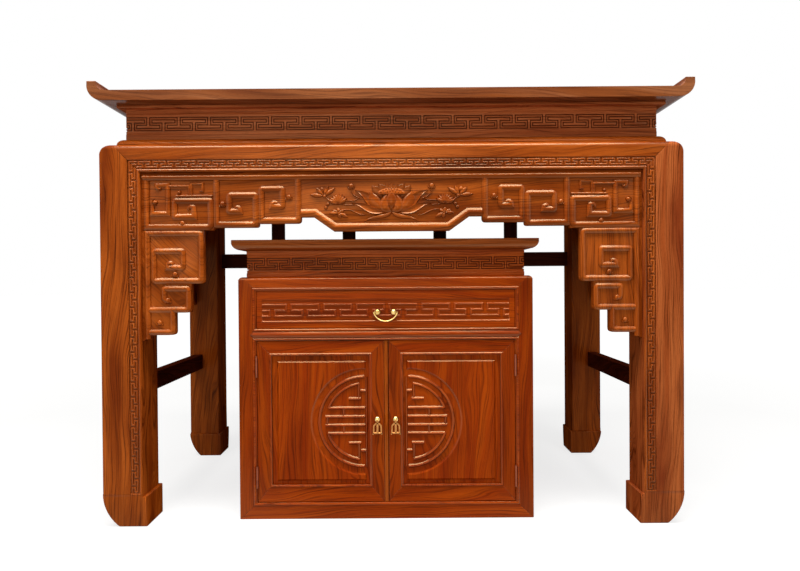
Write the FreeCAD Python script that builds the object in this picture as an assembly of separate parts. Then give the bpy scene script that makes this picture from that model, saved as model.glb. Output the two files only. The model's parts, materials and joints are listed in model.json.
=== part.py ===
import FreeCAD, Part
import math
import os

# Two-tier altar table: a tall table with raised ends, and the cabinet that stands under it.
# Millimetres, +Z up, +X to the right, front towards -Y, origin on the floor under the table's middle.

# Table, overall
table_width = 1750.0
table_depth = 870.0
table_height = 1270.0

# Table top: a mitred frame with raised ends, boards tongued into it, battens below
top_thickness = 30.0
tip_rise = 26.0
tip_flat = 27.0
tip_hollow = 20.0
tip_sweep = 44.0
top_frame_width = 110.0
top_board_count = 4
top_board_thickness = 18.0
batten_count = 3
batten_width = 60.0
batten_height = 26.0

# Joinery shared by the table and the cabinet
tongue_reach = 10.0
tongue_thickness = 8.0
tongue_stop = 29.0
stub_reach = 12.0
joint_clearance = 0.2

# Legs and their feet
side_overhang = 28.0
front_overhang = 13.0
leg_width = 116.0
foot_height = 90.0
foot_step = 9.0
foot_sweep_height = 100.0
foot_sweep_side = 44.0
foot_sweep_front = 10.0

# Mouldings from the top down to the shoulder rail
cornice_height = 8.0
cornice_inset = 35.0
lip_height = 19.0
lip_inset = 54.0
waist_height = 56.0
waist_sink = 3.0
waist_thickness = 25.0
base_height = 16.0
plinth_height = 24.0
plinth_round = 20.0
rail_height = 81.0
rail_depth = 60.0
rail_round = 7.0
end_rail_round = 34.0

# Front apron: blocks from the leg inwards, each with its drop below the rail
apron_setback = 8.0
apron_thickness = 22.0
apron_bead = 14.0
apron_sink = 5.0
apron_reveal = 8.0
corner_block = 211.0
corner_drop = 169.0
second_block = 132.0
second_drop = 162.0
third_block = 124.0
third_drop = 151.0
centre_step = 36.0
step_drop = 133.0
centre_slope = 59.0
centre_drop = 175.0
block_round = 12.0
round_share = 0.8

# Side aprons
side_block = 204.0
side_middle_rise = 12.0

# Front brackets: three steps and a tail on the leg
bracket_widths = (181.5, 144.0, 97.0)
bracket_drops = (156.0, 84.5, 65.5)
bracket_tail_width = 29.0
bracket_tail_drop = 18.5

# Side brackets: two steps and the same tail
side_bracket_widths = (110.0, 70.0)
side_bracket_drops = (127.0, 100.0)

# Stretchers and rear slats
stretcher_thickness = 36.0
stretcher_height = 58.0
stretcher_level = 358.0
stretcher_inset = 16.0
rear_stretcher_height = 59.0
rear_stretcher_level = 773.0
tenon_reach = 40.0
tenon_thickness = 14.0
tenon_shoulder = 10.0
slat_width = 54.0
slat_thickness = 20.0
slat_inner = 193.0
slat_outer = 494.0

# Cabinet, overall, with its place under the table
cabinet_width = 884.0
cabinet_depth = 560.0
cabinet_height = 840.0
cabinet_offset = -21.0
cabinet_setback = 58.0

# Cabinet top and the mouldings under it
lid_thickness = 30.0
lid_overhang = 16.0
lid_round = 23.0
collar_height = 14.0
collar_inset = 20.5
neck_height = 48.0
neck_sink = 4.5
neck_thickness = 20.0
seat_height = 19.0

# Cabinet carcass
stile_width = 53.0
post_depth = 45.0
front_rail_depth = 30.0
side_rail_depth = 40.0
shoulder_height = 41.0
mid_rail_height = 35.0
mid_rail_nose = 12.0
bottom_rail_height = 49.0
cabinet_round = 12.0
panel_thickness = 10.0
panel_inset = 14.0
floor_thickness = 12.0
floor_lip = 7.0
drawer_opening = 115.0
runner_width = 24.0
runner_height = 20.0
front_recess = 2.0

# Drawer
drawer_gap = 1.0
drawer_glide = 0.3
drawer_front_thickness = 20.0
drawer_side_gap = 2.0
drawer_wall = 12.0
drawer_wall_drop = 19.0
drawer_back_gap = 54.0
drawer_lap = 8.0
drawer_bottom_thickness = 6.0
drawer_bottom_rise = 10.0

# Doors
door_thickness = 22.0
door_frame_width = 40.0
door_bottom_width = 48.0
door_gap = 2.0
hinge_gap = 1.2
meeting_strip_width = 13.0
meeting_strip_depth = 14.0
meeting_gap = 1.6
door_panel_back = 8.0
door_tongue = 8.0
field_margin = 22.0
field_slope = 10.0
field_sink = 4.0

# Butt hinges
hinge_height = 64.0
hinge_inset = 44.0
knuckle_radius = 3.4
knuckle_share = 20.0
knuckle_gap = 0.3
knuckle_proud = 0.4
pin_radius = 1.6
pin_clearance = 0.05
leaf_thickness = 1.2
leaf_width = 20.0

# Drawer bail and its posts
bail_post_spacing = 48.0
bail_fall = 8.0
post_base_radius = 6.5
post_base_height = 2.0
post_neck_radius = 3.8
post_ball_radius = 7.5
post_reach = 11.0
bail_radius = 2.2
bail_elbow = 3.0
bail_hang = 27.5
bail_grip = 5.0

# Door pulls: a ball with a slot, and a pendant on a pin across it
pull_raise = 8.5
rose_ball_radius = 9.5
rose_reach = 11.0
rose_pin_fall = 4.0
slot_width = 6.4
slot_clearance = 0.4
eye_radius = 3.4
pendant_thickness = 3.0
pendant_neck = 11.0
pendant_flare = 11.0
pendant_length = 43.0
pendant_shoulder = 14.0
pendant_width = 30.0
pendant_slot = 4.0

# Levels and faces of the table, worked out from the sizes above
half_width = table_width / 2
half_depth = table_depth / 2
top_under = table_height - top_thickness
leg_x = half_width - side_overhang
leg_y = half_depth - front_overhang
inner_x = leg_x - leg_width
inner_y = leg_y - leg_width
waist_inset = lip_inset + waist_sink
waist_back = waist_inset + waist_thickness
lip_top = top_under - cornice_height
waist_top = lip_top - lip_height
waist_bottom = waist_top - waist_height
plinth_top = waist_bottom - base_height
rail_top = plinth_top - plinth_height
rail_bottom = rail_top - rail_height
plinth_inset = leg_width - rail_height
bracket_top = rail_bottom - corner_drop

# Levels and faces of the cabinet
cabinet_front = cabinet_setback - leg_y
cabinet_back = cabinet_front + cabinet_depth
cabinet_half = cabinet_width / 2
opening_half = cabinet_half - stile_width
lid_under = cabinet_height - lid_thickness
neck_top = lid_under - collar_height
neck_bottom = neck_top - neck_height
shoulder_top = neck_bottom - seat_height
shoulder_bottom = shoulder_top - shoulder_height
mid_top = shoulder_bottom - drawer_opening
mid_bottom = mid_top - mid_rail_height
face_y = cabinet_front + front_recess
door_bottom = bottom_rail_height + door_gap
door_top = mid_bottom - door_gap
pivot_clearance_radius = pin_radius + pin_clearance


def vec(x, y, z):
    return FreeCAD.Vector(x, y, z)


def block(x0, x1, y0, y1, z0, z1):
    return Part.makeBox(x1 - x0, y1 - y0, z1 - z0, vec(x0, y0, z0))


def grown(x0, x1, y0, y1, z0, z1):
    # the room for a tongue or tenon of this size
    c = joint_clearance
    return block(x0 - c, x1 + c, y0 - c, y1 + c, z0 - c, z1 + c)


def rod(base, axis, radius, length):
    return Part.makeCylinder(radius, length, base, axis)


def rounded(corners):
    # corners are (u, v, radius); the result is a path of lines and arcs through middle points
    path = []
    for index, (u, v, radius) in enumerate(corners):
        if radius == 0:
            path.append((u, v))
            continue
        before = corners[index - 1]
        after = corners[(index + 1) % len(corners)]
        back = (before[0] - u, before[1] - v)
        ahead = (after[0] - u, after[1] - v)
        back_length = math.hypot(*back)
        ahead_length = math.hypot(*ahead)
        back = (back[0] / back_length, back[1] / back_length)
        ahead = (ahead[0] / ahead_length, ahead[1] / ahead_length)
        half_angle = math.acos(back[0] * ahead[0] + back[1] * ahead[1]) / 2
        run = radius / math.tan(half_angle)
        middle = (back[0] + ahead[0], back[1] + ahead[1])
        middle_length = math.hypot(*middle)
        depth = (radius / math.sin(half_angle) - radius) / middle_length
        path.append((u + back[0] * run, v + back[1] * run))
        path.append((u + middle[0] * depth, v + middle[1] * depth,
                     u + ahead[0] * run, v + ahead[1] * run))
    return path


def face_of(path, place):
    start = path[0]
    here = start
    edges = []
    for step in path[1:]:
        there = step[-2:]
        if len(step) == 4:
            edges.append(Part.Arc(place(*here), place(*step[:2]), place(*there)).toShape())
        else:
            edges.append(Part.makeLine(place(*here), place(*there)))
        here = there
    edges.append(Part.makeLine(place(*here), place(*start)))
    return Part.Face(Part.Wire(edges))


def along_x(path, x0, x1):
    return face_of(path, lambda y, z: vec(x0, y, z)).extrude(vec(x1 - x0, 0, 0))


def along_y(path, y0, y1):
    return face_of(path, lambda x, z: vec(x, y0, z)).extrude(vec(0, y1 - y0, 0))


def along_z(path, z0, z1):
    return face_of(path, lambda x, y: vec(x, y, z0)).extrude(vec(0, 0, z1 - z0))


def round_waste(edge, inset, top):
    # what a rounded top edge takes off, as a path of (across, z); a negative inset runs the other way
    share = 1 - math.sqrt(0.5)
    drop = abs(inset)
    return [(edge, top - drop), (edge + inset * share, top - drop * share, edge + inset, top), (edge, top)]


def mirrored_x(shape, about=0.0):
    return shape.mirror(vec(about, 0, 0), vec(1, 0, 0))


def mirrored_y(shape):
    return shape.mirror(vec(0, 0, 0), vec(0, 1, 0))


sides = ("front", "rear", "left", "right")
outward = {"front": -1, "rear": 1, "left": -1, "right": 1}


def mitre_plan(side, half_x, half_y, reach, centre_x, centre_y):
    # plan of one side of a frame whose corners are mitred
    sign = outward[side]
    if side in ("front", "rear"):
        far = sign * half_y
        near = sign * (half_y - reach)
        plan = [(-half_x, far), (half_x, far), (half_x - reach, near), (reach - half_x, near)]
    else:
        far = sign * half_x
        near = sign * (half_x - reach)
        plan = [(far, -half_y), (far, half_y), (near, half_y - reach), (near, reach - half_y)]
    return [(centre_x + x, centre_y + y) for x, y in plan]


def moulding(side, profile, half_x, half_y, reach, centre_x=0.0, centre_y=0.0):
    # profile corners are (inset, z, radius), the inset measured inwards from the frame's outer face
    levels = [corner[1] for corner in profile]
    sign = outward[side]
    if side in ("front", "rear"):
        path = rounded([(centre_y + sign * (half_y - inset), z, r) for inset, z, r in profile])
        bar = along_x(path, centre_x - half_x, centre_x + half_x)
    else:
        path = rounded([(centre_x + sign * (half_x - inset), z, r) for inset, z, r in profile])
        bar = along_y(path, centre_y - half_y, centre_y + half_y)
    plan = mitre_plan(side, half_x, half_y, reach, centre_x, centre_y)
    return bar.common(along_z(plan, min(levels), max(levels)))


def save(name, *solids):
    shape = solids[0] if len(solids) == 1 else Part.makeCompound(list(solids))
    shape.exportStep(os.path.join("parts", name + ".step"))


os.makedirs("parts", exist_ok=True)


# Table top
def top_frame():
    tip = table_height + tip_rise
    tip_inner = half_width - tip_flat
    outline = rounded([
        (-half_width, top_under, tip_sweep), (half_width, top_under, tip_sweep),
        (half_width, tip, 0), (tip_inner, tip, 0),
        (tip_inner, table_height, tip_hollow), (-tip_inner, table_height, tip_hollow),
        (-tip_inner, tip, 0), (-half_width, tip, 0)])
    whole = along_y(outline, -half_depth, half_depth)
    pieces = {}
    for side in sides:
        plan = mitre_plan(side, half_width, half_depth, top_frame_width, 0, 0)
        pieces[side] = whole.common(along_z(plan, top_under, tip))
    return pieces


field_x = half_width - top_frame_width
field_y = half_depth - top_frame_width
board_under = table_height - top_board_thickness
tongue_low = board_under + (top_board_thickness - tongue_thickness) / 2
tongue_high = tongue_low + tongue_thickness
top_groove = grown(-field_x - tongue_reach, field_x + tongue_reach,
                   -field_y - tongue_reach, field_y + tongue_reach, tongue_low, tongue_high)

board_width = 2 * field_y / top_board_count
top_boards = []
for index in range(top_board_count):
    y0 = -field_y + index * board_width
    y1 = y0 + board_width
    board = block(-field_x, field_x, y0, y1, board_under, table_height)
    tongue_front = tongue_reach if index == 0 else 0
    tongue_rear = tongue_reach if index == top_board_count - 1 else 0
    tongue = block(-field_x - tongue_reach, field_x + tongue_reach, y0 - tongue_front, y1 + tongue_rear,
                   tongue_low, tongue_high)
    top_boards.append(board.fuse(tongue).removeSplitter())

batten_spacing = 2 * field_x / (batten_count + 1)
batten_stub_top = board_under - joint_clearance
batten_stub_bottom = max(top_under, board_under - batten_height) + joint_clearance
battens = []
batten_rooms = []
for index in range(batten_count):
    x0 = -field_x + (index + 1) * batten_spacing - batten_width / 2
    x1 = x0 + batten_width
    batten = block(x0, x1, -field_y, field_y, board_under - batten_height, board_under)
    stub = (x0, x1, -field_y - stub_reach, field_y + stub_reach, batten_stub_bottom, batten_stub_top)
    battens.append(batten.fuse(block(*stub)).removeSplitter())
    batten_rooms.append(grown(*stub))

top_pieces = top_frame()
save("top_boards", *top_boards)
save("top_battens", *battens)
save("top_front_rail", top_pieces["front"].cut([top_groove] + batten_rooms))
save("top_rear_rail", top_pieces["rear"].cut([top_groove] + batten_rooms))
save("top_end_left", top_pieces["left"].cut(top_groove))
save("top_end_right", top_pieces["right"].cut(top_groove))

# Waist under the top: cornice, lip, sunk field and base in one mitred board on each side
waist_profile = [
    (cornice_inset, top_under, 0), (cornice_inset, lip_top, 0), (lip_inset, lip_top, 0),
    (lip_inset, waist_top, 0), (waist_inset, waist_top, 0), (waist_inset, waist_bottom, 0),
    (lip_inset, waist_bottom, 0), (lip_inset, plinth_top, 0), (waist_back, plinth_top, 0),
    (waist_back, top_under, 0)]
waist = {side: moulding(side, waist_profile, leg_x, leg_y, waist_back) for side in sides}
save("waist_front", waist["front"])
save("waist_rear", waist["rear"])
save("waist_ends", waist["left"], waist["right"])

# Plinth moulding that carries the waist
plinth_profile = [
    (plinth_inset, rail_top, 0), (plinth_inset, plinth_top, plinth_round),
    (waist_back, plinth_top, 0), (waist_back, rail_top, 0)]
save("waist_plinth", *[moulding(side, plinth_profile, leg_x, leg_y, waist_back) for side in sides])


# Shoulder rails, mitred into the legs on the face and to each other at the corners
def rail_profile(side):
    top_round = rail_round if side in ("front", "rear") else end_rail_round
    return [(0, rail_bottom, 0), (0, rail_top, top_round), (rail_depth, rail_top, 0),
            (rail_depth, rail_bottom, 0)]


def rail_slab(side):
    # the space of a rail on its face, before the corner mitre
    half, near, far = (inner_x, leg_y - rail_depth, leg_y) if side in ("front", "rear") \
        else (inner_y, leg_x - rail_depth, leg_x)
    face = [(-half, rail_bottom), (half, rail_bottom),
            (half + rail_height, rail_top), (-half - rail_height, rail_top)]
    low, high = sorted((outward[side] * near, outward[side] * far))
    return along_y(face, low, high) if side in ("front", "rear") else along_x(face, low, high)


rail_slabs = {side: rail_slab(side) for side in sides}
rails = {side: moulding(side, rail_profile(side), leg_x, leg_y, rail_depth).common(rail_slabs[side])
         for side in sides}


# Aprons
def apron_tongue(half, near):
    # tongue along the top edge of an apron, as a box with the apron's run on its first axis
    low = near + (apron_thickness - tongue_thickness) / 2
    return (tongue_stop - half, half - tongue_stop, low, low + tongue_thickness,
            rail_bottom, rail_bottom + tongue_reach)


def front_apron_steps():
    x1 = inner_x - corner_block
    x2 = x1 - second_block
    x3 = x2 - third_block
    x4 = x3 - centre_step
    x5 = x4 - centre_slope
    return x1, x2, x3, x4, x5


def front_apron():
    x1, x2, x3, x4, x5 = front_apron_steps()
    corner, second, third, step, centre = [
        rail_bottom - drop for drop in (corner_drop, second_drop, third_drop, step_drop, centre_drop)]
    right = [
        (inner_x, corner, 0),
        (x1, corner, min(block_round, round_share * (second - corner))), (x1, second, 0),
        (x2, second, min(block_round, round_share * (third - second))), (x2, third, 0),
        (x3, third, min(block_round, round_share * (step - third))), (x3, step, 0),
        (x4, step, 0), (x5, centre, 0)]
    left = [(-x, z, r) for x, z, r in reversed(right)]
    outline = rounded([(-inner_x, rail_bottom, 0), (inner_x, rail_bottom, 0)] + right + left)
    face = apron_setback - leg_y
    board = along_y(outline, face, face + apron_thickness)
    top = rail_bottom - apron_reveal - apron_bead
    pockets = []
    for start, end, low in ((inner_x, x1, corner), (x1, x2, second), (x2, x3, third)):
        pockets.append(block(end + apron_bead, start - apron_bead, face, face + apron_sink,
                             low + apron_bead, top))
    pockets += [mirrored_x(pocket) for pocket in pockets]
    lean = apron_bead * math.tan(math.atan2(step - centre, x4 - x5) / 2)
    half = [(x3 - apron_bead, top), (x3 - apron_bead, step + apron_bead),
            (x4 - lean, step + apron_bead), (x5 - lean, centre + apron_bead)]
    cartouche = half + [(-x, z) for x, z in reversed(half)]
    pockets.append(along_y(cartouche, face, face + apron_sink))
    x0, x6, y0, y1, z0, z1 = apron_tongue(inner_x, face)
    return board.cut(pockets).fuse(block(x0, x6, y0, y1, z0, z1)).removeSplitter()


def side_apron():
    # the right-hand side apron
    corner = rail_bottom - corner_drop
    middle = corner + side_middle_rise
    y1 = inner_y - side_block
    corner_round = min(block_round, round_share * side_middle_rise)
    right = [(inner_y, corner, 0), (y1, corner, corner_round), (y1, middle, 0)]
    left = [(-y, z, r) for y, z, r in reversed(right)]
    outline = rounded([(-inner_y, rail_bottom, 0), (inner_y, rail_bottom, 0)] + right + left)
    near = leg_x - apron_setback - apron_thickness
    board = along_x(outline, near, near + apron_thickness)
    top = rail_bottom - apron_reveal - apron_bead
    outer = near + apron_thickness
    pockets = []
    for start, end, low in ((inner_y, y1, corner), (y1, -y1, middle), (-y1, -inner_y, corner)):
        pockets.append(block(outer - apron_sink, outer, end + apron_bead, start - apron_bead,
                             low + apron_bead, top))
    y0, y6, x0, x1, z0, z1 = apron_tongue(inner_y, near)
    return board.cut(pockets).fuse(block(x0, x1, y0, y6, z0, z1)).removeSplitter()


front_tongue = apron_tongue(inner_x, apron_setback - leg_y)
side_tongue = apron_tongue(inner_y, leg_x - apron_setback - apron_thickness)
front_tongue_room = grown(*front_tongue)
right_tongue_room = grown(*(side_tongue[2:4] + side_tongue[0:2] + side_tongue[4:6]))
right_apron = side_apron()
save("apron_front", front_apron())
save("apron_right", right_apron)
save("apron_left", mirrored_x(right_apron))


# Brackets under the aprons
def bracket_outline(edge, widths, drops):
    # stepped outline from the leg face at this edge inwards, with its blocks as (width, top, bottom)
    corners = [(edge, bracket_top, 0)]
    level = bracket_top
    blocks = []
    for width, drop in zip(widths, drops):
        corners.append((edge - width, level, 0))
        corners.append((edge - width, level - drop, block_round))
        blocks.append((width, level, level - drop))
        level -= drop
    corners += [(edge - bracket_tail_width, level, 0), (edge, level - bracket_tail_drop, 0)]
    return rounded(corners), blocks


def front_bracket():
    # the right-hand front bracket
    outline, blocks = bracket_outline(inner_x, bracket_widths, bracket_drops)
    face = apron_setback - leg_y
    board = along_y(outline, face, face + apron_thickness)
    pockets = [block(inner_x - width + apron_bead, inner_x - apron_bead, face, face + apron_sink,
                     low + apron_bead, high - apron_bead) for width, high, low in blocks]
    return board.cut(pockets)


def side_bracket():
    # the bracket on the right-hand side against the rear leg
    outline, blocks = bracket_outline(inner_y, side_bracket_widths, side_bracket_drops)
    outer = leg_x - apron_setback
    board = along_x(outline, outer - apron_thickness, outer)
    pockets = [block(outer - apron_sink, outer, inner_y - width + apron_bead, inner_y - apron_bead,
                     low + apron_bead, high - apron_bead) for width, high, low in blocks]
    return board.cut(pockets)


right_bracket = front_bracket()
save("bracket_front_right", right_bracket)
save("bracket_front_left", mirrored_x(right_bracket))
rear_right_bracket = side_bracket()
side_pair = [rear_right_bracket, mirrored_y(rear_right_bracket)]
save("side_brackets", *side_pair, *[mirrored_x(piece) for piece in side_pair])

# Stretchers, with tenons into the legs
side_stretcher_box = (leg_x - stretcher_inset - stretcher_thickness, leg_x - stretcher_inset,
                      -inner_y, inner_y, stretcher_level, stretcher_level + stretcher_height)
side_middle = leg_x - stretcher_inset - stretcher_thickness / 2
side_tenon_box = (side_middle - tenon_thickness / 2, side_middle + tenon_thickness / 2,
                  -inner_y - tenon_reach, inner_y + tenon_reach,
                  stretcher_level + tenon_shoulder, stretcher_level + stretcher_height - tenon_shoulder)
right_stretcher = block(*side_stretcher_box).fuse(block(*side_tenon_box)).removeSplitter()
save("side_stretchers", right_stretcher, mirrored_x(right_stretcher))

rear_stretcher_top = rear_stretcher_level + rear_stretcher_height
rear_middle = leg_y - stretcher_inset - stretcher_thickness / 2
rear_tenon_box = (-inner_x - tenon_reach, inner_x + tenon_reach,
                  rear_middle - tenon_thickness / 2, rear_middle + tenon_thickness / 2,
                  rear_stretcher_level + tenon_shoulder, rear_stretcher_top - tenon_shoulder)
rear_bar = block(-inner_x, inner_x, rear_middle - stretcher_thickness / 2,
                 rear_middle + stretcher_thickness / 2, rear_stretcher_level, rear_stretcher_top)
rear_stretcher = rear_bar.fuse(block(*rear_tenon_box))

# Rear slats between the rear shoulder rail and the rear stretcher
slats = []
slat_rooms = []
for centre in (-slat_outer, -slat_inner, slat_inner, slat_outer):
    slat = block(centre - slat_width / 2, centre + slat_width / 2, rear_middle - slat_thickness / 2,
                 rear_middle + slat_thickness / 2, rear_stretcher_top, rail_bottom)
    stub = (centre - slat_width / 2 + tenon_shoulder, centre + slat_width / 2 - tenon_shoulder,
            rear_middle - tongue_thickness / 2, rear_middle + tongue_thickness / 2,
            rear_stretcher_top - stub_reach, rail_bottom + stub_reach)
    slats.append(slat.fuse(block(*stub)).removeSplitter())
    slat_rooms.append(grown(*stub))
save("rear_slats", *slats)
save("rear_stretcher", rear_stretcher.cut(slat_rooms).removeSplitter())

save("shoulder_rail_front", rails["front"].cut(front_tongue_room))
save("shoulder_rail_rear", rails["rear"].cut(slat_rooms))
save("shoulder_rail_right", rails["right"].cut(right_tongue_room))
save("shoulder_rail_left", rails["left"].cut(mirrored_x(right_tongue_room)))


# Legs
def sweep_cut(edge, run, height):
    # what the curved foot takes off, as a path of (inset from the face, z)
    radius = (run * run + height * height) / (2 * run)
    half_turn = math.asin(height / radius) / 2
    middle = (edge + radius - radius * math.cos(half_turn), height - radius * math.sin(half_turn))
    return [(edge, height), middle + (edge + run, 0), (edge, 0)]


def front_left_leg():
    x0, y0 = -leg_x, -leg_y
    x1, y1 = x0 + leg_width, y0 + leg_width
    column = block(x0, x1, y0, y1, 0, rail_top)
    foot = block(x0, x1 + foot_step, y0, y1 + foot_step, 0, foot_height)
    head = block(x0 + waist_back, x1, y0 + waist_back, y1, rail_top, top_under)
    cuts = [
        along_y(sweep_cut(x0, foot_sweep_side, foot_sweep_height), y0, y1 + foot_step),
        along_x(sweep_cut(y0, foot_sweep_front, foot_sweep_height), x0, x1 + foot_step),
        along_y(round_waste(x0, end_rail_round, rail_top), y0, y1),
        along_x(round_waste(y0, rail_round, rail_top), x0, x1),
        rail_slabs["front"], rail_slabs["left"]]
    return column.fuse([foot, head]).cut(cuts).removeSplitter()


side_mortise = grown(*side_tenon_box)
side_mortises = [side_mortise, mirrored_x(side_mortise)]
rear_mortise = grown(*rear_tenon_box)
plain_leg = front_left_leg()
rear_leg = mirrored_y(plain_leg).cut(side_mortises + [rear_mortise])
front_leg = plain_leg.cut(side_mortises)
save("leg_front_left", front_leg)
save("leg_front_right", mirrored_x(front_leg))
save("leg_rear_left", rear_leg)
save("leg_rear_right", mirrored_x(rear_leg))

# Cabinet top and the mouldings under it
cabinet_middle = (cabinet_front + cabinet_back) / 2
lid = block(cabinet_offset - cabinet_half - lid_overhang, cabinet_offset + cabinet_half + lid_overhang,
            cabinet_front - lid_overhang, cabinet_back + lid_overhang, lid_under, cabinet_height)
lid_edges = [edge for edge in lid.Edges if abs(edge.CenterOfMass.z - lid_under) < joint_clearance]
save("cabinet_top", lid.makeFillet(lid_round, lid_edges))

neck_inset = collar_inset + neck_sink
neck_back = neck_inset + neck_thickness
neck_profile = [
    (collar_inset, lid_under, 0), (collar_inset, neck_top, 0), (neck_inset, neck_top, 0),
    (neck_inset, neck_bottom, 0), (collar_inset, neck_bottom, 0), (collar_inset, shoulder_top, 0),
    (neck_back, shoulder_top, 0), (neck_back, lid_under, 0)]
necks = {side: moulding(side, neck_profile, cabinet_half, cabinet_depth / 2, neck_back,
                        cabinet_offset, cabinet_middle) for side in sides}
save("cabinet_waist_front", necks["front"])
save("cabinet_waist_returns", necks["left"], necks["right"], necks["rear"])


# Cabinet front frame: rails as shapes on the face, cut out of the posts where they meet
def on_face(points, depth=front_rail_depth):
    return along_y([(cabinet_offset + x, z) for x, z in points], cabinet_front, cabinet_front + depth)


shoulder_face = on_face([(-opening_half, shoulder_bottom), (opening_half, shoulder_bottom),
                         (opening_half + shoulder_height, shoulder_top),
                         (-opening_half - shoulder_height, shoulder_top)])
mid_face = on_face([(-opening_half, mid_bottom), (opening_half, mid_bottom),
                    (opening_half + mid_rail_nose, (mid_bottom + mid_top) / 2), (opening_half, mid_top),
                    (-opening_half, mid_top), (-opening_half - mid_rail_nose, (mid_bottom + mid_top) / 2)])
bottom_face = on_face([(-cabinet_half, 0), (cabinet_half, 0), (opening_half, bottom_rail_height),
                       (-opening_half, bottom_rail_height)])
left_face = cabinet_offset - cabinet_half
right_face = cabinet_offset + cabinet_half


carcass_rounds = [
    along_x(round_waste(cabinet_front, cabinet_round, shoulder_top), left_face, right_face),
    along_x(round_waste(cabinet_back, -cabinet_round, shoulder_top), left_face, right_face),
    along_y(round_waste(left_face, cabinet_round, shoulder_top), cabinet_front, cabinet_back),
    along_y(round_waste(right_face, -cabinet_round, shoulder_top), cabinet_front, cabinet_back)]

# Panels of the carcass, each box with its tongues, and the room for it
post_front = cabinet_front + post_depth
post_rear = cabinet_back - post_depth
left_panel_box = (left_face + panel_inset, left_face + panel_inset + panel_thickness,
                  post_front - tongue_reach, post_rear + tongue_reach,
                  bottom_rail_height - tongue_reach, shoulder_bottom + tongue_reach)
left_panel = block(*left_panel_box)
left_panel_room = grown(*left_panel_box)
back_panel_box = (cabinet_offset - opening_half - tongue_reach, cabinet_offset + opening_half + tongue_reach,
                  cabinet_back - panel_inset - panel_thickness, cabinet_back - panel_inset,
                  bottom_rail_height - tongue_reach, shoulder_bottom + tongue_reach)
panel_rooms = [left_panel_room, mirrored_x(left_panel_room, cabinet_offset), grown(*back_panel_box)]
save("cabinet_side_panels", left_panel, mirrored_x(left_panel, cabinet_offset))
save("cabinet_back", block(*back_panel_box))

# Floor panel, tongued into the lower rails
floor_top = bottom_rail_height - floor_lip
floor_reach = cabinet_half - side_rail_depth + tongue_reach
floor_boxes = [
    (cabinet_offset - floor_reach, cabinet_offset + floor_reach, post_front, post_rear,
     floor_top - floor_thickness, floor_top),
    (cabinet_offset - opening_half, cabinet_offset + opening_half,
     cabinet_front + front_rail_depth - tongue_reach, cabinet_back - front_rail_depth,
     floor_top - floor_thickness, floor_top)]
floor_rooms = [grown(*box) for box in floor_boxes]
save("cabinet_floor", block(*floor_boxes[0]).fuse(block(*floor_boxes[1])).removeSplitter())

# Rails of the sides and the back
carcass_rails = []
for low, high in ((0, bottom_rail_height), (shoulder_bottom, shoulder_top)):
    left_rail = block(left_face, left_face + side_rail_depth, post_front, post_rear, low, high)
    rear_rail = block(cabinet_offset - opening_half, cabinet_offset + opening_half,
                      cabinet_back - front_rail_depth, cabinet_back, low, high)
    for rail in (left_rail, mirrored_x(left_rail, cabinet_offset), rear_rail):
        carcass_rails.append(rail.cut(panel_rooms + floor_rooms + carcass_rounds))
save("cabinet_carcass_rails", *carcass_rails)

# Hinge sizes, from the gap at the stile
left_stile = cabinet_offset - opening_half
left_door_edge = left_stile + hinge_gap
hinge_x = left_stile + hinge_gap / 2
hinge_y = cabinet_front - knuckle_radius - knuckle_proud
leaf_back = cabinet_front + leaf_width
hinge_bases = (door_bottom + hinge_inset, door_top - hinge_inset - hinge_height)
post_recesses = [block(left_stile - leaf_thickness, left_stile, cabinet_front, leaf_back,
                       base, base + hinge_height) for base in hinge_bases]

# Posts
left_front_post = block(left_face, left_stile, cabinet_front, post_front, 0, shoulder_top)
left_front_post = left_front_post.cut([shoulder_face, mid_face, bottom_face] + panel_rooms
                                      + carcass_rounds + post_recesses)
left_rear_post = block(left_face, left_stile, post_rear, cabinet_back, 0, shoulder_top)
left_rear_post = left_rear_post.cut(panel_rooms + carcass_rounds)
save("cabinet_post_front_left", left_front_post)
save("cabinet_post_front_right", mirrored_x(left_front_post, cabinet_offset))
save("cabinet_rear_posts", left_rear_post, mirrored_x(left_rear_post, cabinet_offset))
save("cabinet_shoulder_rail", shoulder_face.cut(carcass_rounds))
save("cabinet_mid_rail", mid_face)
save("cabinet_bottom_rail", bottom_face.cut(floor_rooms))

# Drawer runners with the dust panel between them
runner_front = cabinet_front + front_rail_depth
runner_rear = cabinet_back - front_rail_depth
runner_inner = opening_half - runner_width
dust_low = mid_top - runner_height + (runner_height - tongue_thickness) / 2
dust_box = (cabinet_offset - runner_inner - tongue_reach, cabinet_offset + runner_inner + tongue_reach,
            runner_front, runner_rear, dust_low, dust_low + tongue_thickness)
left_runner = block(left_stile, left_stile + runner_width, runner_front, runner_rear,
                    mid_top - runner_height, mid_top).cut(grown(*dust_box))
save("drawer_runners", left_runner, mirrored_x(left_runner, cabinet_offset))
save("dust_panel", block(*dust_box))

# Drawer
drawer_half = opening_half - drawer_gap
drawer_inner_y = face_y + drawer_front_thickness
drawer_outer = opening_half - drawer_side_gap
drawer_low = mid_top + drawer_glide
drawer_end = cabinet_back - panel_inset - panel_thickness - drawer_back_gap
wall_top = shoulder_bottom - drawer_wall_drop
drawer_bottom_low = drawer_low + drawer_bottom_rise
bottom_reach = drawer_wall / 2
drawer_bottom_box = (cabinet_offset - drawer_outer + bottom_reach,
                     cabinet_offset + drawer_outer - bottom_reach,
                     drawer_inner_y - bottom_reach, drawer_end - bottom_reach,
                     drawer_bottom_low, drawer_bottom_low + drawer_bottom_thickness)
drawer_bottom_room = grown(*drawer_bottom_box)
left_wall_box = (cabinet_offset - drawer_outer, cabinet_offset - drawer_outer + drawer_wall,
                 drawer_inner_y - drawer_lap, drawer_end, drawer_low, wall_top)
left_lap = block(left_wall_box[0], left_wall_box[1], drawer_inner_y - drawer_lap, drawer_inner_y,
                 drawer_low, wall_top)
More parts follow.
